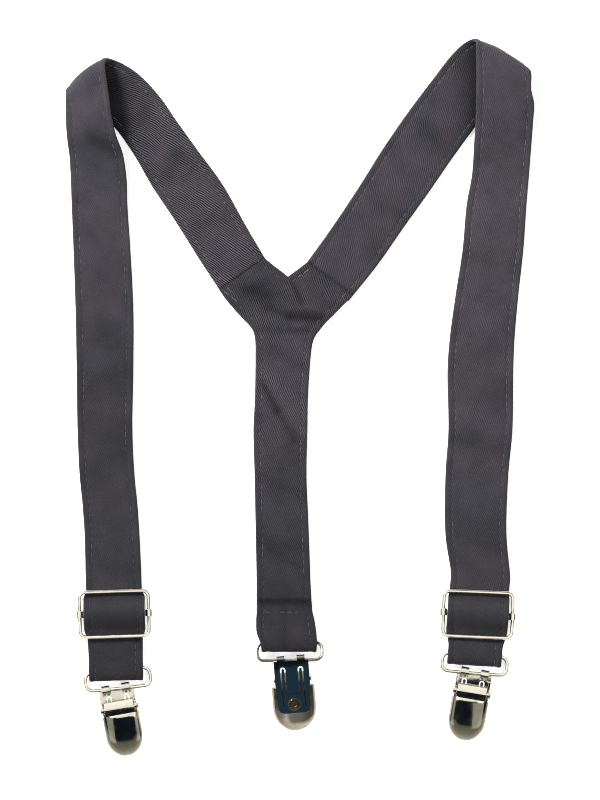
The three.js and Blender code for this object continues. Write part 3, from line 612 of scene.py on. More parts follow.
def set_skins(me, uv, **values):
    """The same attributes on both skins, and UVs in metres, mirrored on the lower skin."""
    for label, v in values.items():
        both = np.concatenate([v, v]).astype(np.float32)
        me.attributes.new(label, "FLOAT", "POINT").data.foreach_set("value", both)
    layer = me.uv_layers.new(name="UVMap")
    flat = np.concatenate([uv, uv * [-1, 1]]) * MM
    loops = np.zeros(len(me.loops), np.int32)
    me.loops.foreach_get("vertex_index", loops)
    layer.data.foreach_set("uv", flat[loops].astype(np.float32).ravel())


def weld(me):
    """Joins the skins where they meet, and turns every face outwards."""
    bm = bmesh.new()
    bm.from_mesh(me)
    bmesh.ops.remove_doubles(bm, verts=bm.verts, dist=1e-6)
    bmesh.ops.dissolve_degenerate(bm, dist=1e-7, edges=bm.edges)
    bmesh.ops.recalc_face_normals(bm, faces=bm.faces)
    bm.to_mesh(me)
    bm.free()
    me.set_sharp_from_angle(angle=math.radians(62))


UNDERSIDE = 0.25  # how much of the upper face's unevenness the lower face has


def band(name, mid, dist, s, uv, tone, crisp, seed, quiet, pucker):
    """A closed strap: two skins over a middle surface, joined at the edges. Arrays are rows by columns."""
    R, C = dist.shape
    nrm = normals(mid)
    top_h = skin_height(dist, s, mid, seed, quiet, pucker)
    low_h = skin_height(dist, s, mid, seed + 3, UNDERSIDE * quiet, pucker)
    top = mid + nrm * top_h[..., None] - SHIFT
    low = mid - nrm * low_h[..., None] - SHIFT
    for a in (top, low):
        a[..., 2] = np.maximum(a[..., 2], ON_TABLE)
    verts = np.concatenate([top.reshape(-1, 3), low.reshape(-1, 3)]) * MM
    faces, n = [], R * C
    for i in range(R - 1):
        for j in range(C - 1):
            a, b, c, d = i * C + j, i * C + j + 1, (i + 1) * C + j + 1, (i + 1) * C + j
            faces.append((a, b, c, d))
            faces.append((n + a, n + d, n + c, n + b))
    for row, flip in ((0, False), (R - 1, True)):
        for j in range(C - 1):
            f = (row * C + j, n + row * C + j, n + row * C + j + 1, row * C + j + 1)
            faces.append(f[::-1] if flip else f)
    o = new_object(name, verts, faces, TWILL)
    set_skins(o.data, uv.reshape(-1, 2), edge=dist.ravel(), tone=tone.ravel(), crisp=crisp.ravel())
    weld(o.data)
    return o


# a stitch's rings: their place along it, and their share of its full radius
STITCH_RINGS = [(-0.5, 0.25), (-0.40, 0.85), (-0.15, 1.0), (0.15, 1.0), (0.40, 0.85), (0.5, 0.25)]


def stitches(name, lines):
    """Thread stitches as short arched beads. Each line is (start, end, normal, shade)."""
    verts, faces, shades = [], [], []
    sides, rings = 6, STITCH_RINGS
    for p, q, nrm, shade in lines:
        shades += [shade] * (sides * len(rings))
        run = q - p
        long = np.linalg.norm(run)
        run = run / long
        side = np.cross(run, nrm)
        base = len(verts)
        for at, wide in rings:
            c = (p + q) / 2 + run * (long * at) + nrm * (0.10 * (1 - (2 * at) ** 2) - 0.05)
            for k in range(sides):
                a = 2 * math.pi * k / sides
                out = (side * math.cos(a) + nrm * math.sin(a) * 0.8) * STITCH_R * wide
                verts.append((c + out - SHIFT) * MM)
        for i in range(len(rings) - 1):
            for k in range(sides):
                u, v = base + i * sides + k, base + i * sides + (k + 1) % sides
                faces.append((u, v, v + sides, u + sides))
        faces.append(tuple(base + k for k in range(sides))[::-1])
        faces.append(tuple(base + (len(rings) - 1) * sides + k for k in range(sides)))
    o = new_object(name, verts, faces, THREAD)
    tone = o.data.attributes.new("tone", "FLOAT", "POINT")
    tone.data.foreach_set("value", np.array(shades, np.float32))
    bm = bmesh.new()
    bm.from_mesh(o.data)
    bmesh.ops.recalc_face_normals(bm, faces=bm.faces)
    bm.to_mesh(o.data)
    bm.free()
    return o


def to_line(p, line):
    """Distance in plan from places p to a polyline."""
    best = np.full(p.shape[:-1], 1e9)
    for a, b in zip(line[:-1], line[1:]):
        d = b[:2] - a[:2]
        away = p[..., :2] - a[:2]
        t = np.clip((away @ d) / max(d @ d, 1e-12), 0, 1)
        best = np.minimum(best, np.linalg.norm(away - t[..., None] * d, axis=-1))
    return best


def under(p, crest, upto):
    """Shade on a layer below height upto, close to the crest that hangs over it: 1 to about a third."""
    near = to_line(p, crest)
    return 1 - 0.68 * np.exp(-((near / 7.5) ** 1.5)) * (p[..., 2] < upto)


def sewn_run(strip, face, side, at, jog, ts, s, wide, skin):
    """One row of topstitching along a strap's edge, as (start, end, normal, station along)."""
    lines = []
    for k in at:
        d = STITCH_IN + jog.uniform(-0.10, 0.10)
        ends = np.array([k, k + STITCH_LONG]) + jog.uniform(-0.12, 0.12)
        places = np.concatenate([ends, ends + 0.3])
        shares = np.array([[(d / w), (d / w) + 0.01] for w in np.interp(places, s, wide)])
        if side:
            shares = 1 - shares[:, ::-1]
        p, _ = strip.points(np.interp(places, s, ts), shares)
        nrm = unit(np.cross(p[:2, 1] - p[:2, 0], p[2:, 0] - p[:2, 0]))
        h = skin(d, ends, p[:2, 0], face)
        pts = p[:2, 0] + nrm * (h * face + face * 0.04)[:, None]
        lines.append((pts[0], pts[1], unit(nrm.mean(0)) * face, ends[0]))
    return lines


def strap(
    name, strip, lo, hi, seed, tone, crisp,
    body=None, quiet=None, crest=None, sew=(1, -1), v0=0.0, skip=(2.0, 2.0), pucker=1.0,
):
    """A strap piece from station lo to hi of a strip, with its topstitching on the faces in sew.

    tone, crisp and quiet may vary along it: they are functions of the distance and the whole length.
    crest is the line of a fold that hangs over it, v0 where its weave starts, and skip how far from
    its ends the stitching stays. Returns the strap, its topstitching and the run's length.
    """
    ts, s = spread_rows(strip.mid, None, lo, hi)
    width = float(np.mean([np.linalg.norm(strip.b(t) - strip.a(t)) for t in ts]))
    ws = columns(width)
    mid, wide = strip.points(ts, ws)
    x = ws[None, :] * wide[:, None]
    dist = np.minimum(x, wide[:, None] - x)
    uv = np.stack([x - wide[:, None] / 2, np.broadcast_to((s + v0)[:, None], x.shape)], -1)

    def value(f):
        return f(s, s[-1])[:, None] * np.ones_like(x) if callable(f) else np.full_like(x, f)

    fade = value(1.0 if quiet is None else quiet)
    shadow = painted_crease_shade_and_patches(mid)
    if crest is not None:
        seam = SEAMS["left" if mid[0, 0, 0] < -5 else "right"]
        # painted shade on the layer under the fold's crest
        shadow = shadow * np.where(ts[:, None] < 9, under(mid, crest, 2.2), 1.0)
        # a painted shadow along the end of the yoke's arm, which lies on this strap
        shadow = shadow * (1 - 0.75 * np.exp(-((to_line(mid, seam) / 0.75) ** 2)))
    shades = value(tone) * shadow
    o = band(name, mid, dist, (s + v0)[:, None], uv, shades, value(crisp), seed, fade, pucker)

    def skin(d, ends, places, face):
        calm = np.interp(ends, s, fade[:, 0]) * (1 if face > 0 else UNDERSIDE)
        own_seed = seed if face > 0 else seed + 3
        return skin_height(np.full(2, d), ends + v0, places, own_seed, calm, pucker)

    at = np.arange(skip[0], s[-1] - skip[1] - STITCH_LONG, STITCH_PITCH)
    jog = np.random.RandomState(seed + 11)
    shade_along = value(tone)[:, 0]
    lines = []
    for face in sew:
        for side in (0, 1):
            for p, q, nrm, k in sewn_run(strip, face, side, at, jog, ts, s, wide, skin):
                lines.append((p, q, nrm, float(np.interp(k, s, shade_along))))
    t = stitches(name + "_topstitch", lines)
    if body:
        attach(o, body)
        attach(t, body)
    return o, t, s[-1]


# the ends of the yoke's arms, where they lie on the shoulder straps and throw a painted shadow on them
SEAMS = {
    "left": np.array([[-35.7, 48.4], [-26.3, 54.6], [-15.3, 62.5]]),
    "right": np.array([[3.1, 60.9], [13.4, 53.6], [23.3, 45.9]]),
}

# ---- where the straps lie
# stations from the yoke over the shoulder and down the front: outer edge, inner edge, bulge
LEFT = [
    [[-33.7, 45.7, H], [-13.9, 59.8, H]],
    [[-44.7, 62.5, H], [-23.5, 76.1, H]],
    [[-55.2, 79.2, H], [-34.5, 95.5, H]],
    [[-64.9, 93.7, H], [-45.1, 110, H]],
    [[-72.8, 107.4, H], [-54.3, 122.8, H]],
    [[-80.7, 118.8, H], [-62.3, 134.2, H]],
    [[-89.5, 127.2, H], [-71.9, 144.1, H]],
    [[-97.2, 132.9, H], [-79.9, 148.9, H + 0.3]],
    [[-101.3, 135.6, 1.6], [-83.6, 150.0, 3.0], -1.0],
    [[-102.6, 135.8, 3.3], [-85.4, 149.6, 7.0], -1.8],
    [[-102.8, 133.4, 4.8], [-85.6, 146.5, 10.2], -1.6],
    [[-102.8, 127.6, 4.9], [-84.2, 136.5, 11.4], -0.8],
    [[-102.8, 121, 3.9], [-82.6, 124.5, 10.2], -0.6],
    [[-102.3, 114, 2.7], [-80.6, 116, 8.0], -0.5],
    [[-101.4, 107, 1.5], [-77.9, 108.5, 5.0], -0.3],
    [[-100.9, 97, 0.8], [-76.3, 98, 2.0], -0.1],
    [[-100.5, 85.8, H], [-75.9, 85.8, H]],
    [[-99.7, 66, H], [-74.6, 66, H]],
    [[-98.8, 39.6, H], [-73.3, 39.6, H]],
    [[-98.3, 13.2, H], [-73.3, 13.2, H]],
    [[-97.9, -13.2, H], [-73.7, -13.2, H]],
    [[-97.0, -33, H], [-72.8, -33, H]],
    [[-95.7, -46.2, H], [-71.5, -46.2, H]],
    [[-94.8, -59.4, H], [-70.6, -59.4, H]],
]
RIGHT = [
    [[21.3, 43.4, H], [1.4, 58.3, H]],
    [[34.1, 59.4, H], [13.9, 75.7, H]],
    [[45.5, 75.7, H], [25.3, 92.8, H]],
    [[57.4, 92.4, H], [36.7, 110.9, H]],
    [[67.1, 106.5, H], [47.3, 126.3, H]],
    [[76.8, 119.7, H], [57.9, 140.4, H]],
    [[86, 131.1, H], [67.1, 152.2, H]],
    [[93.5, 138.6, H], [72.2, 156.9, H + 0.1]],
    [[98.6, 143.2, 1.6], [75.2, 158.4, 1.9], 0.9],
    [[101.0, 144.6, 3.7], [76.9, 158.2, 4.6], 1.7],
    [[101.6, 142.4, 5.4], [77.3, 156.2, 7.0], 1.6],
    [[101.6, 136.4, 5.5], [77.4, 148.7, 7.8], 0.8],
    [[102.9, 130.2, 4.7], [77.4, 136.4, 7.6], 0.6],
    [[102.5, 122.3, 3.4], [77.2, 125, 6.2], 0.5],
    [[101.9, 113.5, 1.8], [76.6, 114.4, 4.2], 0.3],
    [[100.8, 99, 0.8], [75.6, 99, 1.6], 0.1],
    [[99.7, 85.8, H], [73.3, 85.8, H]],
    [[98.3, 66, H], [71.5, 66, H]],
    [[96.1, 46, H], [68.4, 46, H]],
    [[94.4, 26.4, H], [65.8, 26.4, H]],
    [[93.9, 13.2, H], [64.9, 13.2, H]],
    [[93.5, -13.2, H], [65.3, -13.2, H]],
    [[91.7, -33, H], [64.0, -33, H]],
    [[90.9, -59.4, H], [64.0, -59.4, H]],
]
IN_RING = 11.9  # half width of the strap where it goes through a ring
SPREAD = 13.5  # half width where it goes over an adjuster's bar
FRAME_B = 9.95  # half the adjuster frame's length
CROSS_R, FRAME_R, RING_R = 0.9, 0.87, 0.85  # wire radii
RING_B = 4.1  # half the height of the ring's centre line
BAR_UP = RING_R + 0.65 + 0.8  # height of the ring's wire over the clip's back plate
AROUND = CROSS_R + 0.25 + T / 2  # from the bar's axis to the middle of the strap round it
UNDER_TOP, UNDER_LOW = H + 0.2, H + T + 0.55  # the strap's heights where it enters the adjuster
BAR_Z = max(H + T - 0.1 + AROUND, H + T + 0.83 + FRAME_R)
OVER = AROUND + T + 0.4  # from the bar's axis to the middle of the outer layer
RING_Z = H + T / 2 + 0.25 + RING_R
LOOP_END = 2 * RING_B - BAR_UP - T / 2 - 1.0
# turn: degrees; reach: from the bar to the ring; tone, fold and run: shades from the yoke down
SIDES = {
    "left": dict(
        sign=-1, bar=LEFT_BAR, turn=1.6, half=12.3, reach=24.8, stations=LEFT, seed=3,
        tone=1.15, crisp=2.4, fold=0.93, run=(0.90, 0.68, 0.62), front_crisp=0.28,
    ),
    "right": dict(
        sign=1, bar=(78.2, -94.2), turn=-4.2, half=13.1, reach=17.9, stations=RIGHT, seed=31,
        tone=0.97, crisp=0.95, fold=1.08, run=(1.08, 0.98, 0.76), front_crisp=0.5,
    ),
}
CUT = 16.0  # station where a shoulder fold hands over to the front run


def ease(x, a, b):
    """0 at a, 1 at b, smooth between."""
    f = np.clip((x - a) / (b - a), 0, 1)
    return f * f * (3 - 2 * f)


class Fittings:
    """The places round one side's adjuster: u across the strap, v down it from the bar, z up."""

    def __init__(self, name):
        self.S = SIDES[name]
        self.turn = math.radians(self.S["turn"])

    def at(self, u, v, z):
        c, s = math.cos(self.turn), math.sin(self.turn)
        cx, cy = self.S["bar"]
        return [cx + u * c + v * s, cy + u * s - v * c, z]

    def edge(self, v, z):
        """A station across the strap, outer edge first."""
        half = self.S["sign"] * self.S["half"]
        return [self.at(half, v, z), self.at(-half, v, z)]

    def place(self, v):
        """A point on the strap's middle line, in the frame's metres."""
        x, y, _ = self.at(0, v, 0)
        return Vector(((x - SHIFT[0]) * MM, (y - SHIFT[1]) * MM, 0))

    def around(self, label, path, half, skin_seed, tone, quiet):
        """A strap along a path of (v, z), sewn on its outer face; half is its half width at v."""
        stations = []
        for v, z in path:
            h = half(v)
            stations.append([self.at(-h, v, z), self.at(h, v, z)])
        # the pieces round the hardware get low tones, in part as painted shade from the frame and bar
        seed, tone = self.S["seed"] + skin_seed, tone * self.S["run"][2] / 0.76
        return strap(
            label, Strip(stations), 0, len(path) - 1, seed, tone, 0.22,
            quiet=lambda s, L: np.full_like(s, quiet), sew=(1,), skip=(1.5, 1.5), pucker=0.6,
        )


def shoulder_and_front(name, F):
    """The strap from the yoke over the shoulder and down to the adjuster, calm where pieces meet."""
    S, b = F.S, FRAME_B
    into = [F.edge(-b - 7.05, H), F.edge(-b - 3.05, H + 0.05), F.edge(-b - 0.15, UNDER_TOP)]
    strip = Strip([*S["stations"], *into])
    tone, crisp, fold, run = S["tone"], S["crisp"], S["fold"], S["run"]

    def calm_end(s, L):
        return 1 - ease(s, L - 16, L - 3)

    def calm_both(s, L):
        return ease(s, 3, 16) * (1 - ease(s, L - 12, L - 2) * 0.6)

    def shade(s, L):
        turning = (fold - tone) * ease(s, L * 0.55, L * 0.7)
        return tone + turning + (run[0] - fold) * ease(s, L * 0.75, L)

    def weave(s, L):
        return crisp + (S["front_crisp"] - crisp) * ease(s, L * 0.55, L * 0.72)

    def fade_down(s, L):
        return np.interp(s / L, [0, 0.45, 0.9], run)

    inner = catmull([st[1] for st in S["stations"][9:16]])
    crest = np.array([inner(k) for k in np.linspace(0, 6, 60)])
    o, _, length = strap(
        name + "_shoulder_strap", strip, 0, CUT, S["seed"], shade, weave,
        body="straps", quiet=calm_end, crest=crest,
    )
    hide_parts(name + "_back_run", name + "_shoulder_fold")
    o, t, _ = strap(
        name + "_front_strap", strip, CUT, strip.last, S["seed"] + 50, fade_down, S["front_crisp"],
        quiet=calm_both, v0=length, skip=(0.8, 3.0),
    )
    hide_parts(name + "_front_run")
    cx, cy = S["bar"]
    for piece in (o, t):
        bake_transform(piece)


def adjuster_strap(name, F):
    """The strap going up through the frame, over its bar and down again."""
    b, top, q = FRAME_B, BAR_Z + OVER, OVER / 3.5
    foot = 5.6 * q

    def ahead(f):
        return foot + (b - 0.15 - foot) * f

    def half(v):
        return F.S["half"] + (SPREAD - F.S["half"]) * ease(b - 0.15 - abs(v), 0.0, 2.2)

    path = [
        (b - 0.15, UNDER_LOW), (ahead(0.69), UNDER_LOW + 0.25),
        (ahead(0.33), UNDER_LOW + 0.8), (foot, UNDER_LOW + 1.65),
        (4.2 * q, top - 2.0 * q), (2.8 * q, top - 0.9 * q),
        (1.2 * q, top - 0.17 * q), (0, top),
        (-1.2 * q, top - 0.17 * q), (-2.6 * q, top - 0.95 * q),
        (-4.2 * q, top - 2.85 * q), (-foot, UNDER_TOP + 1.45),
        (-ahead(0.45), UNDER_TOP + 0.2), (-b + 0.15, UNDER_TOP),
    ]
    o, t, _ = F.around(name + "_adjuster_strap", path, half, 70, 0.56, 0.5)
    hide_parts(name + "_adjuster_pass")
    for piece in (o, t):
        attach(piece, name + "_crossbar")


def sewn_end(name, F):
    """The strap's end, sewn back on itself round the bar."""
    b = FRAME_B
    d = AROUND * math.sqrt(0.5)
    k0 = 1.417 * AROUND

    def back(f):
        return k0 + (b - 0.65 - k0) * f

    path = [
        (back(1), H + 0.07), (back(0.837), H + 0.35),
        (back(0.66), H + 0.95), (back(0.437), H + T + 0.27),
        (back(0.2), H + T + 0.8), (k0, BAR_Z),
        (d, BAR_Z + d), (0, BAR_Z + AROUND),
        (-d, BAR_Z + d), (-AROUND, BAR_Z),
        (-d, BAR_Z - d), (0, BAR_Z - AROUND),
        (0.89 * AROUND, (H + BAR_Z - AROUND) / 2 - 0.05), (back(0.14), H),
        (back(0.45), H),
    ]
    half = F.S["half"] - 0.3
    o, t, _ = F.around(name + "_sewn_end_loop", path, lambda v: half, 80, 0.50, 0.0)
    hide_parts(name + "_end_loop")
    for piece in (o, t):
        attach(piece, name + "_crossbar")


def ring_loop(name, F):
    """The doubled strap below the adjuster, with the clip's ring in its turn."""
    b, reach, E = FRAME_B, F.S["reach"], LOOP_END
    over = RING_Z + RING_R + 0.28 + T / 2
    full = F.S["half"]

    def rise(f):
        return b + 0.15 + (reach - 4 - b - 0.15) * f

    def half(v):
        if v >= b + 4:
            return IN_RING
        return full - 0.1 - (max(0.0, v - b + 0.35) / 4.35) * (full - 0.1 - IN_RING)

    path = [
        (b - 0.35, H), (reach - 4, H),
        (reach, H), (reach + 0.57 * E, H + 0.1),
        (reach + 0.87 * E, H + 0.7), (reach + E, RING_Z),
        (reach + 0.91 * E, over - 0.88), (reach + 0.61 * E, over - 0.23),
        (reach + 0.17 * E, over), (reach - 1.5, over - 0.13),
        (reach - 4, over - 0.68), (rise(0.6), UNDER_LOW + 0.35),
        (rise(0.25), UNDER_LOW + 0.02), (b + 0.15, UNDER_LOW),
    ]
    o, t, _ = F.around(name + "_ring_loop_strap", path, half, 90, 0.56, 0.35)
    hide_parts(name + "_ring_loop")
    start, end = F.place(b - 0.3), F.place(reach - 5.5)
    for piece in (o, t):
        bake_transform(piece)


for side in SIDES:
    fittings = Fittings(side)
    shoulder_and_front(side, fittings)
    adjuster_strap(side, fittings)
    sewn_end(side, fittings)
    ring_loop(side, fittings)

# ---- the yoke and the centre strap
UP = H + T + 0.3
# the arms' edges from their ends to the trunk, then the trunk's middle line and edges downwards
LEFT_ARM = [
    [[-35.5, 48.3, UP], [-15.5, 62.4, UP]],
    [[-32.3, 43.8, UP], [-11.2, 58.9, UP]],
    [[-28.6, 39.5, 1.0], [-8.0, 56.5, 1.5]],
    [[-24.5, 35.0, H], [-5.3, 54.3, 1.0]],
]
RIGHT_ARM = [
    [[3.2, 60.7, UP], [23.2, 45.8, UP]],
    [[0.3, 58.4, UP], [19.2, 41.9, UP]],
    [[-2.6, 56.3, 1.5], [15.4, 38.0, 1.0]],
    [[-5.3, 54.3, 1.0], [11.6, 34.3, H]],
]
TRUNK = [
    [[-24.5, 35.0, H], [-5.3, 54.3, 1.0], [11.6, 34.3, H]],
    [[-22.4, 32.9, H], [-5.8, 44, H], [8.9, 31.0, H]],
    [[-20.7, 30.4, H], [-6.4, 35, H], [6.8, 28.2, H]],
    [[-19.8, 26.8, H], [-6.9, 27.5, H], [5.6, 25.2, H]],
    [[-19.6, 18, H], [-7.4, 18, H], [4.6, 17.5, H]],
    [[-19.9, 0, H], [-8.2, 0, H], [3.5, 0, H]],
    [[-20.5, -13, H], [-8.6, -13, H], [3.3, -13, H]],
    [[-20.0, -33, H], [-8.6, -33, H], [2.9, -33, H]],
    [[-19.6, -53, H], [-8, -53, H], [3.7, -53, H]],
    [[-19.1, -78.9, H], [-7.3, -78.9, H], [4.6, -78.9, H]],
]
LEFT_EDGE, MIDDLE, RIGHT_EDGE = ([row[k] for row in TRUNK] for k in range(3))
PATCH_WIDE = 27.5  # the width that the yoke's columns are spaced for


def dense(points, n=160):
    """Many points along the curve through a few."""
    at = catmull(points)
    return np.array([at(t) for t in np.linspace(0, len(points) - 1, n)])


def yoke_shares():
    """Columns across a patch of the yoke, close together near both edges."""
    near = np.array(NEAR)
    inner = np.linspace(near[-1] / PATCH_WIDE, 1 - near[-1] / PATCH_WIDE, 14)[1:-1]
    return np.concatenate([near / PATCH_WIDE, inner, 1 - near[::-1] / PATCH_WIDE])


def yoke_patches():
    """The middle surface as four grids: two arms, and the trunk's two halves."""
    ws = yoke_shares()
    near_end = np.array([0, 0.12, 0.3, 0.55, 0.9, 1.3]) / 11.0 * 3
    ts = np.concatenate([near_end, np.linspace(near_end[-1], 3, 12)[1:]])
    grids = [Strip(arm).points(ts, ws)[0] for arm in (LEFT_ARM, RIGHT_ARM)]
    ts, _ = spread_rows(catmull(MIDDLE), 100, 0, 9)
    for rails in (zip(LEFT_EDGE, MIDDLE), zip(MIDDLE, RIGHT_EDGE)):
        grids.append(Strip(list(rails)).points(ts, ws)[0])
    return grids


def weld_patches(grids):
    """One surface from the grids: its points, their normals, its quads, and each grid's point numbers."""
    verts, key, index = [], {}, []
    for g in grids:
        ids = np.zeros(g.shape[:2], int)
        for i, j in np.ndindex(ids.shape):
            k = tuple(np.round(g[i, j], 2))
            if k not in key:
                key[k] = len(verts)
                verts.append(g[i, j])
            ids[i, j] = key[k]
        index.append(ids)
    P = np.array(verts)
    N = np.zeros_like(P)
    quads = []
    for ids in index:
        for i, j in np.ndindex(ids.shape[0] - 1, ids.shape[1] - 1):
            q = (ids[i, j], ids[i, j + 1], ids[i + 1, j + 1], ids[i + 1, j])
            if len(set(q)) < 3:
                continue
            f = np.cross(P[q[2]] - P[q[0]], P[q[3]] - P[q[1]])
            if f[2] < 0:
                q, f = q[::-1], -f
            quads.append(q)
            for v in q:
                N[v] += f
    return P, unit(N), quads, index


def outline(quads):
    """The points on edges that only one quad has."""
    uses = {}
    for q in quads:
        for k in range(4):
            e = tuple(sorted((q[k], q[k - 1])))
            uses[e] = uses.get(e, 0) + 1
    return {v for e, times in uses.items() if times == 1 for v in e}


def yoke_edge(P):
    """Distances of places P from the cut's long edges, and from the arms' two ends."""
    outer_l = np.concatenate([dense([s[0] for s in LEFT_ARM], 30), dense(LEFT_EDGE)])
    outer_r = np.concatenate([dense([s[1] for s in RIGHT_ARM], 30), dense(RIGHT_EDGE)])
    vee_l = dense([s[1] for s in LEFT_ARM], 30)
    vee_r = dense([s[0] for s in RIGHT_ARM], 30)
    vee = np.concatenate([vee_l, vee_r[::-1]])
    d = np.minimum(np.minimum(to_line(P, outer_l), to_line(P, outer_r)), to_line(P, vee))
    trunk = np.minimum(to_line(P, dense(LEFT_EDGE)), to_line(P, dense(RIGHT_EDGE)))
    ends = [to_line(P, np.array(arm[0], float)) for arm in (LEFT_ARM, RIGHT_ARM)]
    return np.where(P[:, 1] < 20, trunk, d), np.minimum(*ends)


# rows of topstitching on the yoke: its rail, which way the cloth lies, where it starts, its shade
YOKE_SEWING = [
    (LEFT_EDGE, 1, 1.0, 0.95),
    (RIGHT_EDGE, -1, 1.0, 0.95),
    ([s[0] for s in LEFT_ARM], 1, 1.5, 0.95),
    ([s[1] for s in RIGHT_ARM], -1, 1.5, 0.95),
    ([s[1] for s in LEFT_ARM], -1, 1.5, 0.95),
    ([s[0] for s in RIGHT_ARM], 1, 1.5, 1.7),
]
# a few loose, paler threads where the left arm is sewn down: x and y of both ends
LOOSE_THREADS = [
    (-33.4, 47.8, -30.4, 45.4),
    (-30.0, 45.0, -27.6, 43.4),
    (-32.0, 49.4, -29.9, 47.3),
]


def yoke_stitches(P, top, bottom):
    """Topstitching that follows the outline on both skins."""
    lines = []
    jog = np.random.RandomState(77)
    for rail, inward, lo, shade in YOKE_SEWING:
        pts = dense(rail, 600)
        steps = np.linalg.norm(np.diff(pts[:, :2], axis=0), axis=1)
        seg = np.concatenate([[0], np.cumsum(steps)])

        def along(q):
            return np.array([np.interp(q, seg, pts[:, c]) for c in range(3)])

        for k in np.arange(lo, seg[-1] - STITCH_LONG, STITCH_PITCH):
            ends = []
            for q in (k, k + STITCH_LONG):
                run = unit(along(q + 0.5) - along(q - 0.5))
                side = unit(np.cross([0, 0, 1.0], run)) * inward
                ends.append(along(q) + side * (STITCH_IN + jog.uniform(-0.08, 0.08)))
            ends = np.array(ends)
            near = [int(np.argmin(np.linalg.norm(P - e, axis=1))) for e in ends]
            for face, skin in ((1, top), (-1, bottom)):
                e = ends.copy()
                e[:, 2] = [skin[i][2] + face * 0.05 for i in near]
                lines.append((e[0], e[1], np.array([0, 0, float(face)]), shade))
    for x0, y0, x1, y1 in LOOSE_THREADS:
        start, end = np.array([x0, y0, UP + 0.75]), np.array([x1, y1, UP + 0.45])
        lines.append((start, end, np.array([0, 0, 1.0]), 1.9))
    return stitches("yoke_topstitch", lines)


def yoke():
    """The yoke and centre strap as one cut piece: two arms over the shoulder straps, and the trunk."""
    P, N, quads, index = weld_patches(yoke_patches())
    d, d_end = yoke_edge(P)
    # the two skins meet all round the outline, and stay apart across the trunk's straight end
    last_rows = [index[2][-1], index[3][-1]]
    rim = list(outline(quads) - set(last_rows[0][1:]) - set(last_rows[1][:-1]))
    d[rim] = 0.0
    both = np.minimum(d, d_end)
    quiet = 1.0 - ease(-P[:, 1], 66, 78)
    top = skin_height(np.where(d_end < 2.2, both, d), -P[:, 1], P, 21, quiet)
    low = skin_height(both, -P[:, 1], P, 24, UNDERSIDE * quiet)
    up = P + N * top[:, None] - SHIFT
    dn = P - N * low[:, None] - SHIFT
    dn[:, 2] = np.maximum(dn[:, 2], ON_TABLE)
    n = len(P)
    faces = [tuple(q) for q in quads] + [tuple(v + n for v in q[::-1]) for q in quads]
    # close the trunk's straight end, where the strap's end piece goes on
    for row in last_rows:
        for a, b in zip(row[:-1], row[1:]):
            if a != b:
                faces.append((a, a + n, b + n, b))
    o = new_object("yoke_and_back_strap", np.concatenate([up, dn]) * MM, faces, TWILL)
    down_y = [-79, -60, -30, 0, 20, 34, 44]
    tone = np.interp(P[:, 1], down_y, [0.60, 0.68, 0.82, 1.00, 1.02, 0.86, 0.84]) * painted_crease_shade_and_patches(P)
    # painted shade along the arms' cut ends
    tone = tone * (1 - 0.5 * np.exp(-((d_end / 0.45) ** 2)))
    crisp = np.interp(P[:, 1], [-79, -40, 0, 25, 45], [0.45, 0.95, 1.35, 1.45, 1.5])
    set_skins(o.data, P[:, :2], edge=both, tone=tone, crisp=crisp)
    weld(o.data)
    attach(o, "straps")
    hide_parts("yoke_back_strap")
    t = yoke_stitches(P, up, dn)
    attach(t, "straps")


yoke()

BACK_BAR_Y = -106.6
BACK_LIFT = 1.0
BACK_WIDE = 26.0
BACK_Z = H + BACK_LIFT + T / 2 + 0.3 + RING_R


def back_end():
    """The strap's end, folded round the back ring and cross-stitched."""
    by, under = BACK_BAR_Y, H + BACK_LIFT
    over, flap = BACK_Z + RING_R + 0.6 + T / 2, H + T + 0.35
    mid, hh, E = (under + over) / 2, (over - under) / 2, LOOP_END - 0.45
    # left edge, right edge, y and z along the strap, round the ring and back over itself
    profile = [
        (-19.1, 4.6, -78.91, H),
        (-19.1, 5.1, -88, H),
        (-19.0, 5.8, by + 10.6, H + 0.15 * BACK_LIFT),
        (-18.2, 7.0, by + 4.6, H + 0.45 * BACK_LIFT),
        (-17.3, 7.5, by, under),
        (-17.0, 7.4, by - 0.6 * E, mid - 0.784 * hh),
        (-17.0, 7.3, by - 0.92 * E, mid - 0.41 * hh),
        (-17.0, 7.3, by - E, mid),
        (-17.0, 7.3, by - 0.9 * E, mid + 0.39 * hh),
        (-17.1, 7.4, by - 0.53 * E, mid + 0.763 * hh),
        (-17.6, 7.5, by + 0.4, over),
        (-19.0, 7.2, by + 4.1, flap + 0.8 * (over - flap)),
        (-19.3, 6.6, by + 8.6, flap + 0.34 * (over - flap)),
        (-19.1, 5.6, by + 13.1, flap + 0.07 * (over - flap)),
        (-18.6, 4.4, by + 17.1, flap),
    ]
    strip = Strip([[[r, y, z], [l, y, z]] for l, r, y, z in profile])

    def shade(s, L):
        """Painted shadow under the flap's cut edge, which lies just past the strap's plain start, and
        painted shade at the flap's end.
        """
        # painted shadow in a line under the flap's cut edge
        flap_shadow = 0.80 * np.exp(-(((s - 9.7) / 1.0) ** 2))
        return (0.60 - 0.08 * ease(s, 2, 9)) * (1 - flap_shadow) * (1 - 0.4 * ease(s, L - 0.7, L))

    o, _, _ = strap(
        "back_strap_end_loop", strip, 0, 14, 120, shade, 0.3, body="straps",
        quiet=lambda s, L: 0.35 * ease(s, 2, 12), sew=(-1, 1), skip=(0.5, 1.5), pucker=0.7,
    )
    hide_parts("back_strap_end")
    row = []
    for k in np.arange(0.11, 0.86, STITCH_PITCH / BACK_WIDE):
        p, _ = strip.points([13.05], [k, k + STITCH_LONG / BACK_WIDE])
        raised = p[0] + [0, 0, 0.62]
        row.append((raised[0], raised[1], np.array([0, 0, 1.0]), 0.85))
    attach(stitches("back_end_cross_stitch", row), "straps")


back_end()


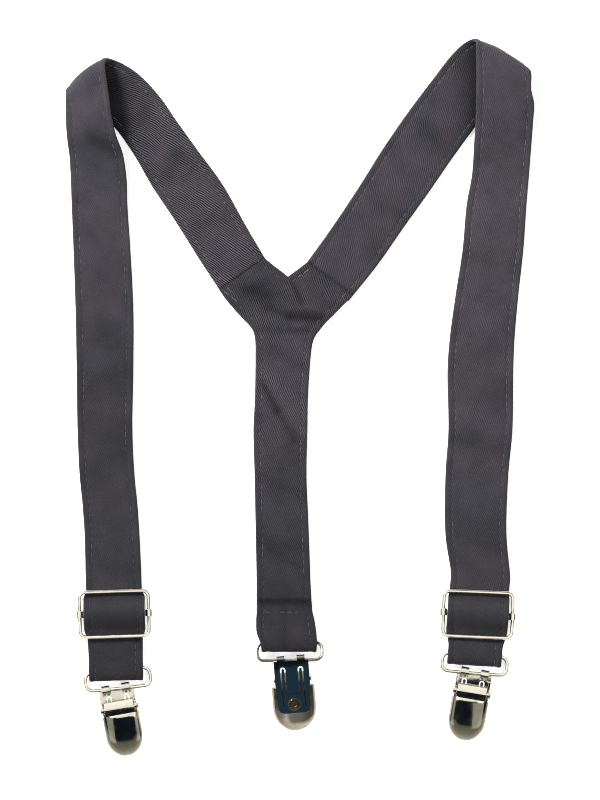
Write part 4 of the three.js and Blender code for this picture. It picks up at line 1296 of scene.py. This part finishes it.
# ---- hardware
CREASE_ANGLE = math.radians(38)  # a metal or plastic edge sharper than this is bevelled
WIRE_GROW = 0.05  # what rounding takes off a wire's radius


def copy_of(node, name, mat):
    """A new object with the CAD node's own shape, and its mesh open for editing."""
    me = frame["nodes"][node].data.copy()
    me.name = name
    o = bpy.data.objects.new(name, me)
    scene.collection.objects.link(o)
    me.materials.clear()
    me.materials.append(mat)
    bm = bmesh.new()
    bm.from_mesh(me)
    bmesh.ops.remove_doubles(bm, verts=bm.verts, dist=2e-6)
    return o, bm


def finish_mesh(o, bm):
    bmesh.ops.recalc_face_normals(bm, faces=bm.faces)
    bm.to_mesh(o.data)
    bm.free()
    for p in o.data.polygons:
        p.material_index = 0
    o.data.shade_smooth()


def dress(o, node):
    """Puts a piece in its CAD node's place."""
    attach(o, frame["nodes"][node]["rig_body"])
    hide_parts(node)


def round_wire(node, name):
    """A wire as a smooth rod."""
    o, bm = copy_of(node, name, WIRE)
    loose, square = math.radians(60), math.radians(40)
    bmesh.ops.join_triangles(
        bm, faces=bm.faces, angle_face_threshold=square, angle_shape_threshold=loose
    )
    for v in bm.verts:
        v.co += v.normal * WIRE_GROW * MM
    finish_mesh(o, bm)
    m = o.modifiers.new("round", "SUBSURF")
    m.levels = m.render_levels = 2
    dress(o, node)


def hard(node, name, mat, bevel):
    """A stamped, turned or moulded piece with bevelled edges."""
    o, bm = copy_of(node, name, mat)
    flat = math.radians(2.0)
    bmesh.ops.dissolve_limit(bm, angle_limit=flat, verts=bm.verts, edges=bm.edges)
    finish_mesh(o, bm)
    o.data.set_sharp_from_angle(angle=CREASE_ANGLE)
    m = o.modifiers.new("soft_edges", "BEVEL")
    m.width, m.segments = bevel * MM, 2
    m.limit_method, m.angle_limit = "ANGLE", CREASE_ANGLE
    m.harden_normals = True
    dress(o, node)


for side in ("left", "right", "back"):
    round_wire(side + "_ring", side + "_ring_wire")
    hard(side + "_clip_base", side + "_clip_back_plate", NICKEL, 0.3)
    hard(side + "_clip_pin", side + "_clip_hinge_pin", NICKEL, 0.12)
    hard(side + "_jaw_insert", side + "_jaw_grip", PLASTIC, 0.1)
    hard(side + "_clip_rivet", side + "_clip_eyelet", BRASS, 0.14)
for side in SIDES:
    round_wire(side + "_adjuster_frame", side + "_adjuster_wire")
    hard(side + "_adjuster_crossbar", side + "_adjuster_bar", WIRE, 0.12)
# the back clip lies face down, so the inside of its cover shows, given a cream painted reflection
for side, mat in (("left", NICKEL), ("right", NICKEL), ("back", CREAM_PAINTED_REFLECTION)):
    hard(side + "_clip_cover", side + "_cover_shell", mat, 0.12)
